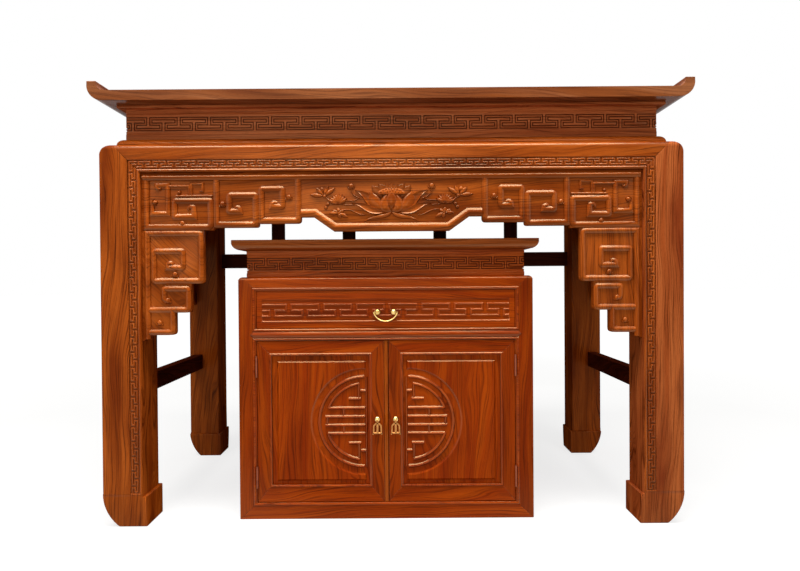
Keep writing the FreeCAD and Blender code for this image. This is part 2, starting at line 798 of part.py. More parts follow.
left_wall = block(*left_wall_box).cut(drawer_bottom_room)
back_wall = block(cabinet_offset - drawer_outer + drawer_wall, cabinet_offset + drawer_outer - drawer_wall,
                  drawer_end - drawer_wall, drawer_end, drawer_low, wall_top).cut(drawer_bottom_room)
drawer_front = block(cabinet_offset - drawer_half, cabinet_offset + drawer_half, face_y, drawer_inner_y,
                     mid_top + drawer_gap, shoulder_bottom - drawer_gap)
save("drawer_front", drawer_front.cut([left_lap, mirrored_x(left_lap, cabinet_offset), drawer_bottom_room]))
save("drawer_box", left_wall, mirrored_x(left_wall, cabinet_offset), back_wall)
save("drawer_bottom", block(*drawer_bottom_box))

# Drawer bail, on pins through two ball posts
bail_z = (mid_top + shoulder_bottom) / 2 - bail_fall
bail_y = face_y - post_reach
bail_out = bail_post_spacing / 2 + post_ball_radius + knuckle_gap
bail_half = bail_out + bail_elbow
forward = vec(0, -1, 0)
rightward = vec(1, 0, 0)


def ball_post(x, z, reach, ball_radius):
    foot = vec(x, face_y, z)
    stem = rod(foot, forward, post_base_radius, post_base_height).fuse(
        rod(foot, forward, post_neck_radius, reach))
    return stem.fuse(Part.makeSphere(ball_radius, vec(x, face_y - reach, z)))


bail_posts = []
for sign in (-1, 1):
    x = cabinet_offset + sign * bail_post_spacing / 2
    bore = rod(vec(x - 2 * post_ball_radius, bail_y, bail_z), rightward,
               bail_radius + pin_clearance, 4 * post_ball_radius)
    bail_posts.append(ball_post(x, bail_z, post_reach, post_ball_radius).cut(bore))
save("drawer_bail_posts", *bail_posts)


def on_bail(x, z):
    return vec(cabinet_offset + x, bail_y, bail_z + z)


def bail():
    # pins, elbows and the hanging grip as one bent rod
    pin_end = bail_post_spacing / 2 - bail_grip
    share = 1 - math.sqrt(0.5)
    half = []
    for sign in (-1, 1):
        pin = Part.makeLine(on_bail(sign * pin_end, 0), on_bail(sign * bail_out, 0))
        elbow = Part.Arc(on_bail(sign * bail_out, 0),
                         on_bail(sign * (bail_half - bail_elbow * share), -bail_elbow * share),
                         on_bail(sign * bail_half, -bail_elbow)).toShape()
        half.append((pin, elbow))
    grip = Part.Arc(on_bail(-bail_half, -bail_elbow), on_bail(0, -bail_hang),
                    on_bail(bail_half, -bail_elbow)).toShape()
    route = Part.Wire(Part.__sortEdges__([half[0][0], half[0][1], grip, half[1][1], half[1][0]]))
    section = Part.Wire(Part.makeCircle(bail_radius, on_bail(-pin_end, 0), rightward))
    return route.makePipeShell([section], True, False, 2)


save("drawer_bail", bail())


# Doors: the left one, then its mirror image with its own free edge
def door(free_edge):
    # members and panel of a door that hangs on the left stile and ends at this X
    x0, x1 = left_door_edge, free_edge
    z0, z1 = door_bottom, door_top
    w, b = door_frame_width, door_bottom_width
    y1 = face_y + door_thickness
    ix0, ix1, iz0, iz1 = x0 + w, x1 - w, z0 + b, z1 - w
    panel_y = face_y + door_panel_back
    plate_box = (ix0 - door_tongue, ix1 + door_tongue, panel_y, panel_y + tongue_thickness,
                 iz0 - door_tongue, iz1 + door_tongue)
    shapes = [
        [(x0, z0), (ix0, iz0), (ix0, iz1), (x0, z1)], [(x1, z0), (x1, z1), (ix1, iz1), (ix1, iz0)],
        [(x0, z0), (x1, z0), (ix1, iz0), (ix0, iz0)], [(x0, z1), (ix0, iz1), (ix1, iz1), (x1, z1)]]
    recesses = [block(x0, x0 + leaf_thickness, face_y, leaf_back, base, base + hinge_height)
                for base in hinge_bases]
    members = [along_y(points, face_y, y1).cut([grown(*plate_box)] + recesses) for points in shapes]

    def field_wire(margin, y):
        low = vec(ix0 + margin, y, iz0 + margin)
        high = vec(ix1 - margin, y, iz1 - margin)
        corners = [low, vec(high.x, y, low.z), high, vec(low.x, y, high.z), low]
        return Part.makePolygon(corners)

    field = Part.makeLoft([field_wire(field_margin - field_slope, panel_y + tongue_thickness / 2),
                           field_wire(field_margin - field_slope, panel_y),
                           field_wire(field_margin, face_y + field_sink)], True, True)
    return members, block(*plate_box).fuse(field).removeSplitter()


left_free = cabinet_offset - meeting_strip_width / 2
right_free = 2 * cabinet_offset - (cabinet_offset + meeting_strip_width / 2 + meeting_gap)
left_members, left_door_panel = door(left_free)
right_members, right_door_panel = door(right_free)
save("left_door_frame", *left_members)
save("left_door_panel", left_door_panel)
save("right_door_frame", *[mirrored_x(piece, cabinet_offset) for piece in right_members])
save("right_door_panel", mirrored_x(right_door_panel, cabinet_offset))

# Meeting strip, glued to the left door's free edge, with a half-round face
strip_right = left_free + meeting_strip_width
strip_round = meeting_strip_width / 2 - joint_clearance
strip = along_z(rounded([(left_free, face_y, strip_round), (left_free, face_y + meeting_strip_depth, 0),
                         (strip_right, face_y + meeting_strip_depth, 0), (strip_right, face_y, strip_round)]),
                door_bottom, door_top)
save("door_meeting_strip", strip)


# Butt hinges: a leaf with two knuckles and the pin on the post, a leaf with one knuckle on the door
def post_leaf(base):
    plate = block(left_stile - leaf_thickness, left_stile, cabinet_front, leaf_back,
                  base, base + hinge_height)
    pieces = [rod(vec(hinge_x, hinge_y, base), vec(0, 0, 1), pin_radius, hinge_height)]
    for low in (base, base + hinge_height - knuckle_share):
        pieces.append(rod(vec(hinge_x, hinge_y, low), vec(0, 0, 1), knuckle_radius, knuckle_share))
        pieces.append(block(left_stile - leaf_thickness, left_stile, hinge_y, cabinet_front,
                            low, low + knuckle_share))
    return plate.fuse(pieces).removeSplitter()


def door_leaf(base):
    low = base + knuckle_share + knuckle_gap
    high = base + hinge_height - knuckle_share - knuckle_gap
    plate = block(left_door_edge, left_door_edge + leaf_thickness, cabinet_front, leaf_back,
                  base, base + hinge_height)
    web = block(left_door_edge, left_door_edge + leaf_thickness, hinge_y, cabinet_front, low, high)
    knuckle = rod(vec(hinge_x, hinge_y, low), vec(0, 0, 1), knuckle_radius, high - low)
    bore = rod(vec(hinge_x, hinge_y, low), vec(0, 0, 1), pivot_clearance_radius, high - low)
    return plate.fuse([web, knuckle]).cut(bore).removeSplitter()


post_leaves = [post_leaf(base) for base in hinge_bases]
door_leaves = [door_leaf(base) for base in hinge_bases]
save("cabinet_hinge_leaves", *post_leaves, *[mirrored_x(leaf, cabinet_offset) for leaf in post_leaves])
save("left_door_leaves", *door_leaves)
save("right_door_leaves", *[mirrored_x(leaf, cabinet_offset) for leaf in door_leaves])

# Door pulls on the middle of each meeting stile
pull_z = (door_bottom + door_top) / 2 + pull_raise
pull_y = face_y - rose_reach
pin_z = pull_z - rose_pin_fall


def pull_rose(x):
    ball = ball_post(x, pull_z, rose_reach, rose_ball_radius)
    slot = block(x - slot_width / 2, x + slot_width / 2, pull_y - rose_ball_radius,
                 pull_y + eye_radius + slot_clearance, pull_z - rose_ball_radius,
                 pin_z + eye_radius + slot_clearance)
    pin_half = slot_width
    pin = rod(vec(x - pin_half, pull_y, pin_z), rightward, pin_radius, 2 * pin_half)
    return ball.cut(slot).fuse(pin).removeSplitter()


def pendant(x):
    eye_half = slot_width / 2 - slot_clearance
    eye = rod(vec(x - eye_half, pull_y, pin_z), rightward, eye_radius, 2 * eye_half)
    front = pull_y - pendant_thickness / 2
    rear = pull_y + pendant_thickness / 2
    neck = block(x - eye_half, x + eye_half, front, rear, pin_z - pendant_neck, pin_z)
    low = pin_z - pendant_length
    high = pin_z - pendant_neck
    flare_z = high - pendant_flare
    top_half = pendant_shoulder / 2
    wide = pendant_width / 2
    slim = wide - pendant_slot / 2
    foot_z = low + pendant_slot
    plate = along_y([(x - top_half, high), (x - slim, flare_z), (x - slim, foot_z), (x - wide, low),
                     (x + wide, low), (x + slim, foot_z), (x + slim, flare_z),
                     (x + top_half, high)], front, rear)
    slots = [block(x + side * (eye_half + pendant_slot / 2) - pendant_slot / 2,
                   x + side * (eye_half + pendant_slot / 2) + pendant_slot / 2, front, rear,
                   foot_z, flare_z) for side in (-1, 1)]
    bore = rod(vec(x - eye_half, pull_y, pin_z), rightward, pivot_clearance_radius, 2 * eye_half)
    return eye.fuse([neck, plate]).cut(slots + [bore]).removeSplitter()


left_pull_x = left_free - door_frame_width / 2
right_pull_x = cabinet_offset + meeting_strip_width / 2 + meeting_gap + door_frame_width / 2
save("left_pull_rose", pull_rose(left_pull_x))
save("left_pendant", pendant(left_pull_x))
save("right_pull_rose", pull_rose(right_pull_x))
save("right_pendant", pendant(right_pull_x))
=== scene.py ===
import json
import math
import random

import bmesh
import bpy
from mathutils import Matrix, Vector
from mathutils.geometry import interpolate_bezier


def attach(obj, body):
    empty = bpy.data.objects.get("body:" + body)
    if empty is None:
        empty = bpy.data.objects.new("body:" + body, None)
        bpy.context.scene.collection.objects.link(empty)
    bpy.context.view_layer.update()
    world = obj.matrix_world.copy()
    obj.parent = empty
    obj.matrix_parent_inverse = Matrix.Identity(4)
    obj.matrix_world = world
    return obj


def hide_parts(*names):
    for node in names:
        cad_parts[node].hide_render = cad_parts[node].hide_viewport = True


# Altar table of lacquered rosewood, with the cabinet that stands under it; front towards -Y
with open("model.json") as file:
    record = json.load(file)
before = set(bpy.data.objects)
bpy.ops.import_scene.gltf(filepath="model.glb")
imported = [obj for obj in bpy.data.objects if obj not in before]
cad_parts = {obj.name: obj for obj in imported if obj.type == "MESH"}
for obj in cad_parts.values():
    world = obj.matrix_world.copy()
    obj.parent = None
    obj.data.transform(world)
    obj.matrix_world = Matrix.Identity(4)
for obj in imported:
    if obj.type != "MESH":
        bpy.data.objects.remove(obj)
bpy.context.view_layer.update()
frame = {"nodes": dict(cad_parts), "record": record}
nodes = frame["nodes"]
bodies = frame["record"]["behaviour"]["bodies"]
bodyOf = {node: body for body, members in bodies.items() for node in members}
mm = 0.001
boardPick = random.Random(11)  # picks where in the log each board was cut
logOf = {}  # node: the matrix from the room into the log of its first board


# materials
rangeSockets = ("From Min", "From Max", "To Min", "To Max")


def linear(hexColour):
    channels = [int(hexColour[i:i + 2], 16) / 255 for i in (1, 3, 5)]
    return [c / 12.92 if c < 0.04045 else ((c + 0.055) / 1.055) ** 2.4 for c in channels] + [1.0]


def addNode(tree, kind, sockets=None, links=None, **settings):
    # a link comes from a socket, or from a node's first output
    node = tree.nodes.new("ShaderNode" + kind)
    for name, value in settings.items():
        setattr(node, name, value)
    for name, value in (sockets or {}).items():
        node.inputs[name].default_value = value
    for name, source in (links or {}).items():
        socket = source.outputs[0] if isinstance(source, bpy.types.Node) else source
        tree.links.new(socket, node.inputs[name])
    return node


def newMaterial(name):
    material = bpy.data.materials.new(name)
    material.use_nodes = True
    material.node_tree.nodes.clear()
    return material


def perMetre(along, across):
    # a Mapping scale for a pattern this long and this wide, in millimetres
    return (1 / (along * mm), 1 / (across * mm), 1 / (across * mm))


def rosewood(look):
    # plain-sawn rosewood: arched figure along the growth rings, dark resin lines, fine pores
    material = newMaterial(look["name"])
    tree = material.node_tree
    grain = addNode(tree, "Attribute", attribute_name="grain").outputs["Vector"]
    wanderAt = addNode(tree, "Mapping", {"Scale": perMetre(*look["wander"])}, {"Vector": grain})
    wander = addNode(tree, "TexNoise", {"Scale": 1.0, "Detail": 2.0}, {"Vector": wanderAt})
    shift = look["wanderReach"] * mm
    moved = addNode(tree, "VectorMath", {1: (0, shift, shift)}, {0: wander.outputs["Color"], 2: grain},
                    operation="MULTIPLY_ADD")
    across = addNode(tree, "VectorMath", {1: (0, 1, 1)}, {0: moved}, operation="MULTIPLY")
    fromPith = addNode(tree, "VectorMath", None, {0: across}, operation="LENGTH")
    along = addNode(tree, "SeparateXYZ", None, {0: grain})
    growth = addNode(tree, "CombineXYZ", None, {"X": along.outputs["X"], "Y": fromPith.outputs["Value"]})
    figureAt = addNode(tree, "Mapping", {"Scale": perMetre(*look["figure"])}, {"Vector": growth})
    figure = addNode(tree, "TexNoise", {"Scale": 1.0, "Detail": 3.0}, {"Vector": figureAt})
    arch = addNode(tree, "MapRange", dict(zip(rangeSockets, look["figureSpan"])), {"Value": figure})
    body = addNode(tree, "Mix", {6: linear(look["light"]), 7: linear(look["middle"])}, {"Factor": arch},
                   data_type="RGBA")
    # layer, its coordinates, detail, roughness, the noise at which it starts and is full, its colour;
    # pores are under half a millimetre wide, and are drawn three times as coarse so that they show
    layers = (("drift", moved, 3.0, 0.5, 0.44, 0.7, "deep"),
              ("line", growth, 4.0, 0.6, 0.48, 0.68, "dark"),
              ("pore", grain, 1.0, 0.5, 0.6, 0.72, "dark"))
    wood = body.outputs[2]
    noiseOf = {}
    for layer, source, detail, roughness, low, high, colour in layers:
        layerAt = addNode(tree, "Mapping", {"Scale": perMetre(*look[layer])}, {"Vector": source})
        noise = addNode(tree, "TexNoise", {"Scale": 1.0, "Detail": detail, "Roughness": roughness},
                        {"Vector": layerAt})
        noiseOf[layer] = noise
        share = addNode(tree, "MapRange", dict(zip(rangeSockets, (low, high, 0, look[layer + "Depth"]))),
                        {"Value": noise})
        mixed = addNode(tree, "Mix", {7: linear(look[colour])}, {"Factor": share, 6: wood}, data_type="RGBA")
        wood = mixed.outputs[2]
    # painted shade at the foot of the carving, for the shade in its grooves and under its bars, with the
    # stained lacquer that gathers there
    footShade = addNode(tree, "Attribute", attribute_name="stainAndPaintedShade")
    surface = addNode(tree, "Mix", {7: linear(look["stainAndPaintedShade"])},
                      {"Factor": footShade.outputs["Fac"], 6: wood}, data_type="RGBA")
    matt = addNode(tree, "MapRange", dict(zip(rangeSockets, (0, 1, *look["gloss"]))),
                   {"Value": noiseOf["line"]})
    relief = addNode(tree, "Bump", {"Strength": look["relief"], "Distance": look["poreDeep"] * mm},
                     {"Height": noiseOf["pore"]})
    # hand-rubbed lacquer: dull straight on, glossy on a slope, dull again at a flat angle
    facing = addNode(tree, "LayerWeight", {"Blend": 0.5}).outputs["Facing"]
    rising = addNode(tree, "MapRange", dict(zip(rangeSockets, (*look["sheenAt"], *look["sheen"]))),
                     {"Value": facing})
    falling = addNode(tree, "MapRange", dict(zip(rangeSockets, (*look["fadeAt"], 1, look["grazing"]))),
                      {"Value": facing})
    shine = addNode(tree, "Math", None, {0: rising, 1: falling}, operation="MULTIPLY")
    shader = addNode(tree, "BsdfPrincipled", {"IOR": 1.45, "Specular Tint": linear(look["sheenColour"])},
                     {"Base Color": surface.outputs[2], "Roughness": matt,
                      "Specular IOR Level": shine, "Normal": relief})
    addNode(tree, "OutputMaterial", None, {"Surface": shader})
    return material


def polishedBrass(look):
    # cast brass, buffed bright, a little browner where fingers don't reach
    material = newMaterial(look["name"])
    tree = material.node_tree
    place = addNode(tree, "TexCoord").outputs["Object"]
    cloud = addNode(tree, "TexNoise", {"Scale": 1 / (look["cloud"] * mm), "Detail": 3.0}, {"Vector": place})
    scuff = addNode(tree, "TexNoise", {"Scale": 1 / (look["scuff"] * mm), "Detail": 2.0}, {"Vector": place})
    stainAndPaintedShade = addNode(tree, "MapRange", dict(zip(rangeSockets, look["cloudSpan"])), {"Value": cloud})
    colour = addNode(tree, "Mix", {6: linear(look["bright"]), 7: linear(look["tarnish"])},
                     {"Factor": stainAndPaintedShade}, data_type="RGBA")
    matt = addNode(tree, "MapRange", dict(zip(rangeSockets, (0, 1, *look["gloss"]))), {"Value": scuff})
    relief = addNode(tree, "Bump", {"Strength": look["relief"], "Distance": look["scuffDeep"] * mm},
                     {"Height": scuff})
    shader = addNode(tree, "BsdfPrincipled", {"Metallic": 1.0},
                     {"Base Color": colour.outputs[2], "Roughness": matt, "Normal": relief})
    addNode(tree, "OutputMaterial", None, {"Surface": shader})
    return material


def seenDirectly(tree):
    # camera, mirror and glass rays see the white background, and other rays don't
    rays = addNode(tree, "LightPath")
    seen = addNode(tree, "Math", None, {0: rays.outputs["Is Camera Ray"], 1: rays.outputs["Is Glossy Ray"]},
                   operation="MAXIMUM")
    return addNode(tree, "Math", None, {0: seen, 1: rays.outputs["Is Transmission Ray"]}, operation="MAXIMUM")


# sizes of the patterns are (along the board, across it) in millimetres
tableLook = {
    "name": "lacqueredRosewoodTable", "light": "#b3571a", "middle": "#99430d", "deep": "#762c06",
    "dark": "#491502", "stainAndPaintedShade": "#3a0f03", "wander": (520, 120), "wanderReach": 90, "figure": (800, 20),
    "figureSpan": (0.34, 0.64), "drift": (420, 60), "driftDepth": 0.9, "line": (260, 3.4), "lineDepth": 0.8,
    "pore": (26, 1.3), "poreDepth": 0.3, "gloss": (0.16, 0.28), "relief": 0.2, "poreDeep": 0.2,
    "sheen": (0.12, 0.58), "sheenAt": (0.09, 0.18), "fadeAt": (0.32, 0.58), "grazing": 0.0,
    "sheenColour": "#ffdfa6"}
tableWood = rosewood(tableLook)
# legs rubbed dull, the right front one lighter, partly its own grain and partly painted light that falls on
# it; a browner top, and a waist painted lighter and pinker for the light and pale reflections on it under the
# top
legLook = dict(tableLook, name="rubbedRosewoodLegs", lineDepth=0.95, driftDepth=1.0, sheen=(0.12, 0.14))
legWood = rosewood(legLook)
# painted light: the right front leg is lighter, partly its own grain and partly the light that falls on it
grainAndPaintedLitLegWood = rosewood(dict(legLook, name="rubbedRosewoodLegGrainAndPaintedLit", light="#bc6431", middle="#a44d20",
                        deep="#813414"))
topWood = rosewood(dict(tableLook, name="rubbedRosewoodTop", light="#945733", middle="#84441e",
                        deep="#6b3218", dark="#4a1f10", grazing=0.04))
# painted light: the waist is lighter and pinker, for the light and pale reflections on it in the top's shade
paintedLitWaistWood = rosewood(dict(tableLook, name="rubbedRosewoodWaistPaintedLit", light="#bd6637", middle="#a65227",
                          deep="#843a1a", dark="#521b0a", driftDepth=0.7))
# the cabinet is redder, with a browner crown; its neck is painted lighter and browner for light under the
# lid, and the strip between its doors painted paler for the light it catches
cabinetLook = dict(tableLook, name="lacqueredRosewoodCabinet", light="#ad4507", middle="#953103",
                   deep="#762002", dark="#4a0f02", driftDepth=0.7, sheen=(0.12, 0.72), sheenAt=(0.065, 0.125),
                   sheenColour="#ffd094")
cabinetWood = rosewood(cabinetLook)
# painted light: the neck is lighter, for the light on it under the cabinet's top
paintedLitNeckWood = rosewood(dict(cabinetLook, name="rubbedRosewoodNeckPaintedLit", light="#b9551b", middle="#a24112",
                         deep="#842d0b"))
crownWood = rosewood(dict(cabinetLook, name="rubbedRosewoodCrown", light="#a65220", middle="#924214",
                          deep="#762f0c", dark="#481505"))
# painted light: the strip between the doors is paler, for the light that it catches
paintedLitStripWood = rosewood(dict(cabinetLook, name="rosewoodStripPaintedLit", light="#b85a10", middle="#a84c09", deep="#963f06",
                         dark="#762a04"))
# stretchers and slats painted dark, for the deep shade under the table; wood inside that was only oiled
paintedShadeWood = rosewood(dict(tableLook, name="rosewoodDarkPaintedShade", light="#5c2411", middle="#4a1a0b",
                          deep="#381006", dark="#240803", gloss=(0.5, 0.6), sheen=(0.08, 0.15)))
innerWood = rosewood(dict(tableLook, name="oiledRosewoodInside", light="#9a5a32", middle="#834622",
                          deep="#703817", dark="#4d2410", gloss=(0.5, 0.62), sheen=(0.1, 0.2)))
# brass, with the size of its clouds and scuffs in millimetres
brassLook = {"name": "polishedBrass", "bright": "#e2c27a", "tarnish": "#b48f4a", "cloud": 14,
             "cloudSpan": (0.45, 0.75), "scuff": 1.6, "scuffDeep": 0.1, "relief": 0.15, "gloss": (0.16, 0.3)}
brass = polishedBrass(brassLook)
wornBrass = polishedBrass(dict(brassLook, name="wornBrass", bright="#b97d45", tarnish="#935f30",
                               gloss=(0.3, 0.45)))
hingeBrass = polishedBrass(dict(brassLook, name="darkBrownBrass", bright="#8a4c36", tarnish="#6c3826",
                                gloss=(0.4, 0.55)))
print("materials ready")


# boards: the CAD members with eased edges, each cut from its own place in the log
boardCut = {
    "weld": 0.01 * mm, "flat": 0.4,  # corners this close are one, and faces within these degrees are one
    "level": 0.1 * mm,  # corners this close to a level lie on it
    "lean": 4, "along": 9, "across": 0.16, "fromPith": (0.07, 0.2),  # degrees off the log, metres in it
    "sharp": 40, "shortest": 5,  # degrees of an edge that is eased, and how many eases long it is
    "spare": 1}  # millimetres that a cutter stands out of the wood


def only(items, kind):
    return [item for item in items if isinstance(item, kind)]


def solidsOf(bm):
    # a node's triangles follow one another solid by solid, and each solid closes on itself
    solids = []
    solid = []
    openEdges = set()
    for face in bm.faces:
        solid.append(face)
        corners = [tuple(round(c, 6) for c in vert.co) for vert in face.verts]
        for start, end in zip(corners, corners[1:] + corners[:1]):
            if (end, start) in openEdges:
                openEdges.remove((end, start))
            else:
                openEdges.add((start, end))
        if not openEdges:
            solids.append(solid)
            solid = []
    if solid:
        solids.append(solid)
    return solids


def copyOf(node):
    bm = bmesh.new()
    bm.from_mesh(nodes[node].data)
    for solid in solidsOf(bm):
        corners = list(dict.fromkeys(vert for face in solid for vert in face.verts))
        bmesh.ops.remove_doubles(bm, verts=corners, dist=boardCut["weld"])
    bmesh.ops.dissolve_limit(bm, angle_limit=math.radians(boardCut["flat"]), verts=bm.verts, edges=bm.edges)
    return bm


def islandsOf(bm):
    left = set(bm.verts)
    for start in bm.verts:
        if start not in left:
            continue
        left.remove(start)
        island = [start]
        for vert in island:
            for edge in vert.link_edges:
                other = edge.other_vert(vert)
                if other in left:
                    left.remove(other)
                    island.append(other)
        yield island


def longestSide(verts):
    spans = [max(v.co[i] for v in verts) - min(v.co[i] for v in verts) for i in range(3)]
    return spans.index(max(spans))


def pickLog(verts, turn):
    # a place in a log that runs along the board's longest side, a few degrees off it
    longest = longestSide(verts)
    axes = Matrix([[float(i == (longest + step) % 3) for i in range(3)] for step in range(3)]).to_4x4()
    most, along, across = [boardCut[key] for key in ("lean", "along", "across")]
    lean = [Matrix.Rotation(math.radians(boardPick.uniform(-most, most)), 4, axis) for axis in "YZ"]
    place = (boardPick.uniform(-along, along), boardPick.uniform(-across, across),
             boardPick.uniform(*boardCut["fromPith"]))
    turned = Matrix.Rotation(math.radians(turn), 4, "Y")
    return Matrix.Translation(place) @ lean[0] @ lean[1] @ axes @ turned


def layGrain(bm, log=None, turn=0):
    # each board has its own log; carving takes the log of the board that it is cut in
    layer = bm.verts.layers.float_vector.new("grain")
    first = log
    for island in islandsOf(bm):
        here = log or pickLog(island, turn)
        first = first or here
        for vert in island:
            vert[layer] = here @ vert.co
    return first


def writePiece(name, bm, body, material, creaseAngle=35):
    mesh = bpy.data.meshes.new(name)
    bm.to_mesh(mesh)
    bm.free()
    if "custom_normal" in mesh.attributes:
        mesh.attributes.remove(mesh.attributes["custom_normal"])
    for polygon in mesh.polygons:
        polygon.use_smooth = True
    mesh.set_sharp_from_angle(angle=math.radians(creaseAngle))
    mesh.materials.clear()
    mesh.materials.append(material)
    piece = bpy.data.objects.new(name, mesh)
    bpy.context.scene.collection.objects.link(piece)
    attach(piece, body)
    return piece


def easeEdges(bm, ease):
    # a plane and sandpaper take the sharp outer edges off
    weights = bm.edges.layers.float.new("bevel_weight_edge")
    for edge in bm.edges:
        if not edge.is_manifold or not edge.is_convex:
            continue
        sharp = edge.calc_face_angle() > math.radians(boardCut["sharp"])
        if sharp and edge.calc_length() > boardCut["shortest"] * ease:
            edge[weights] = 1.0


def darkenUprights(bm, depth):
    # the upright members are darker than the level ones
    stainAndPaintedShade = bm.verts.layers.float.new("stainAndPaintedShade")
    for island in islandsOf(bm):
        if longestSide(island) == 2:
            for vert in island:
                vert[stainAndPaintedShade] = depth


def board(node, material, ease, channel=None, step=None, stainAndPaintedShade=None, topEdge=None):
    # a channel is cut out of the board; a step between two mouldings is moved from one level to another;
    # the top edge of a front board is rounded
    bm = copyOf(node)
    if step:
        for vert in bm.verts:
            if abs(vert.co.z - step[0] * mm) < boardCut["level"]:
                vert.co.z = step[1] * mm
    if channel:
        bm = cutChannel(bm, channel)
    if topEdge:
        bm = roundEdge(bm, **topEdge)
    easeEdges(bm, ease)
    if stainAndPaintedShade:
        darkenUprights(bm, stainAndPaintedShade)
    logOf[node] = layGrain(bm)
    piece = writePiece(node + "_eased", bm, bodyOf[node], material)
    bevel = piece.modifiers.new("easedEdges", "BEVEL")
    bevel.limit_method = "WEIGHT"
    bevel.width = ease
    bevel.segments = 2
    bevel.use_clamp_overlap = False
    flat = piece.modifiers.new("flatFaces", "WEIGHTED_NORMAL")
    flat.keep_sharp = True
    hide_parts(node)


def cutChannel(bm, box):
    # takes a box of (x0, x1, y0, y1, z0, z1) millimetres out of a board
    x0, x1, y0, y1, z0, z1 = [value * mm for value in box]
    cutter = bmesh.new()
    middle = Matrix.Translation(((x0 + x1) / 2, (y0 + y1) / 2, (z0 + z1) / 2))
    bmesh.ops.create_cube(cutter, size=1.0, matrix=middle @ Matrix.Diagonal((x1 - x0, y1 - y0, z1 - z0, 1)))
    return cutAway(bm, cutter)


def roundEdge(bm, front, top, radius, half, steps=10):
    # rounds the edge along a front board's top, in millimetres
    outside, over = front - boardCut["spare"], top + boardCut["spare"]
    turns = [math.pi / 2 * i / steps for i in range(steps + 1)]
    arc = [(front + radius - radius * math.cos(a), top - radius + radius * math.sin(a)) for a in turns]
    section = [(outside, over), (outside, top - radius)] + arc + [(front + radius, over)]
    cutter = bmesh.new()
    face = cutter.faces.new([cutter.verts.new((-half * mm, y * mm, z * mm)) for y, z in section])
    grown = bmesh.ops.extrude_face_region(cutter, geom=[face])["geom"]
    bmesh.ops.translate(cutter, verts=only(grown, bmesh.types.BMVert), vec=(2 * half * mm, 0, 0))
    bmesh.ops.recalc_face_normals(cutter, faces=cutter.faces)
    return cutAway(bm, cutter)


def cutAway(bm, cutter):
    # what is left of a board, as a new mesh
    pair = []
    for name, source in (("channelBoard", bm), ("channelCutter", cutter)):
        mesh = bpy.data.meshes.new(name)
        source.to_mesh(mesh)
        source.free()
        pair.append(bpy.data.objects.new(name, mesh))
        bpy.context.scene.collection.objects.link(pair[-1])
    plain, tool = pair
    cut = plain.modifiers.new("channel", "BOOLEAN")
    cut.object = tool
    cut.solver = "EXACT"
    bpy.context.view_layer.update()
    carved = bpy.data.meshes.new_from_object(plain.evaluated_get(bpy.context.evaluated_depsgraph_get()))
    result = bmesh.new()
    result.from_mesh(carved)
    bmesh.ops.connect_verts_concave(result, faces=result.faces)
    for item in pair:
        bpy.data.objects.remove(item)
    return result


# carving, drawn flat in millimetres (x to the right, y up, z out of the wood), then set on a face
paintedFootShade = {  # how dark the painted shade at the foot of each carving is, and up to what height above the ground
    "fret": (0.75, 1.6), "comb": (0.98, 2.5), "strip": (0.45, 1.6), "bars": (0.8, 4.2), "lotus": (0.8, 6.5),
    "roundel": (0.8, 4.8), "band": (0.8, 3)}


def onFront(y):
    return Matrix(((mm, 0, 0, 0), (0, 0, -mm, y * mm), (0, mm, 0, 0), (0, 0, 0, 1)))


def onSide(x, sign):
    return Matrix(((0, 0, sign * mm, x * mm), (sign * mm, 0, 0, 0), (0, mm, 0, 0), (0, 0, 0, 1)))


def mirrored(bm):
    bmesh.ops.mirror(bm, geom=bm.verts[:] + bm.edges[:] + bm.faces[:], axis="X", merge_dist=-1)
    return bm


def setCarving(name, bm, place, node, material, footShadeKind="fret", creaseAngle=40):
    # painted shade at the foot of the carving: darkest at the ground, gone at the kind's height
    stainAndPaintedShade = bm.verts.layers.float.new("stainAndPaintedShade")
    depth, height = paintedFootShade[footShadeKind]
    for vert in bm.verts:
        vert[stainAndPaintedShade] = depth * max(0, min(1, 1 - vert.co.z / height))
    bmesh.ops.transform(bm, matrix=place, verts=bm.verts)
    bmesh.ops.recalc_face_normals(bm, faces=bm.faces)
    layGrain(bm, logOf[node])
    writePiece(name, bm, bodyOf[node], material, creaseAngle)


def boardPiece(name, bm, place, node, material, turn=0):
    # a board that is carved whole replaces its CAD node
    bmesh.ops.transform(bm, matrix=place, verts=bm.verts)
    bmesh.ops.recalc_face_normals(bm, faces=bm.faces)
    logOf[node] = layGrain(bm, None, turn)
    piece = writePiece(name, bm, bodyOf[node], material)
    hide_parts(node)


def halfRound(width, rise, sink=1.0, steps=7):
    arc = [math.pi * i / steps for i in range(steps + 1)]
    crown = [(width / 2 * math.cos(a), rise * math.sin(a)) for a in arc]
    return [(width / 2, -sink)] + crown + [(-width / 2, -sink)]


def ridgeBar(width, wall, rise, sink=1.0, soft=0.3, steps=8):
    # low upright sides, and two even slopes that meet in a rounded ridge
    full = math.hypot(1, soft) - soft
    crown = []
    for i in range(steps + 1):
        share = 1 - 2 * i / steps
        crown.append((width / 2 * share, wall + rise * (1 - (math.hypot(share, soft) - soft) / full)))
    return [(width / 2, -sink)] + crown + [(-width / 2, -sink)]


def flatBar(width, rise, ease, sink=1.0):
    half = width / 2
    return [(half, -sink), (half, rise - ease), (half - ease, rise), (ease - half, rise),
            (-half, rise - ease), (-half, -sink)]


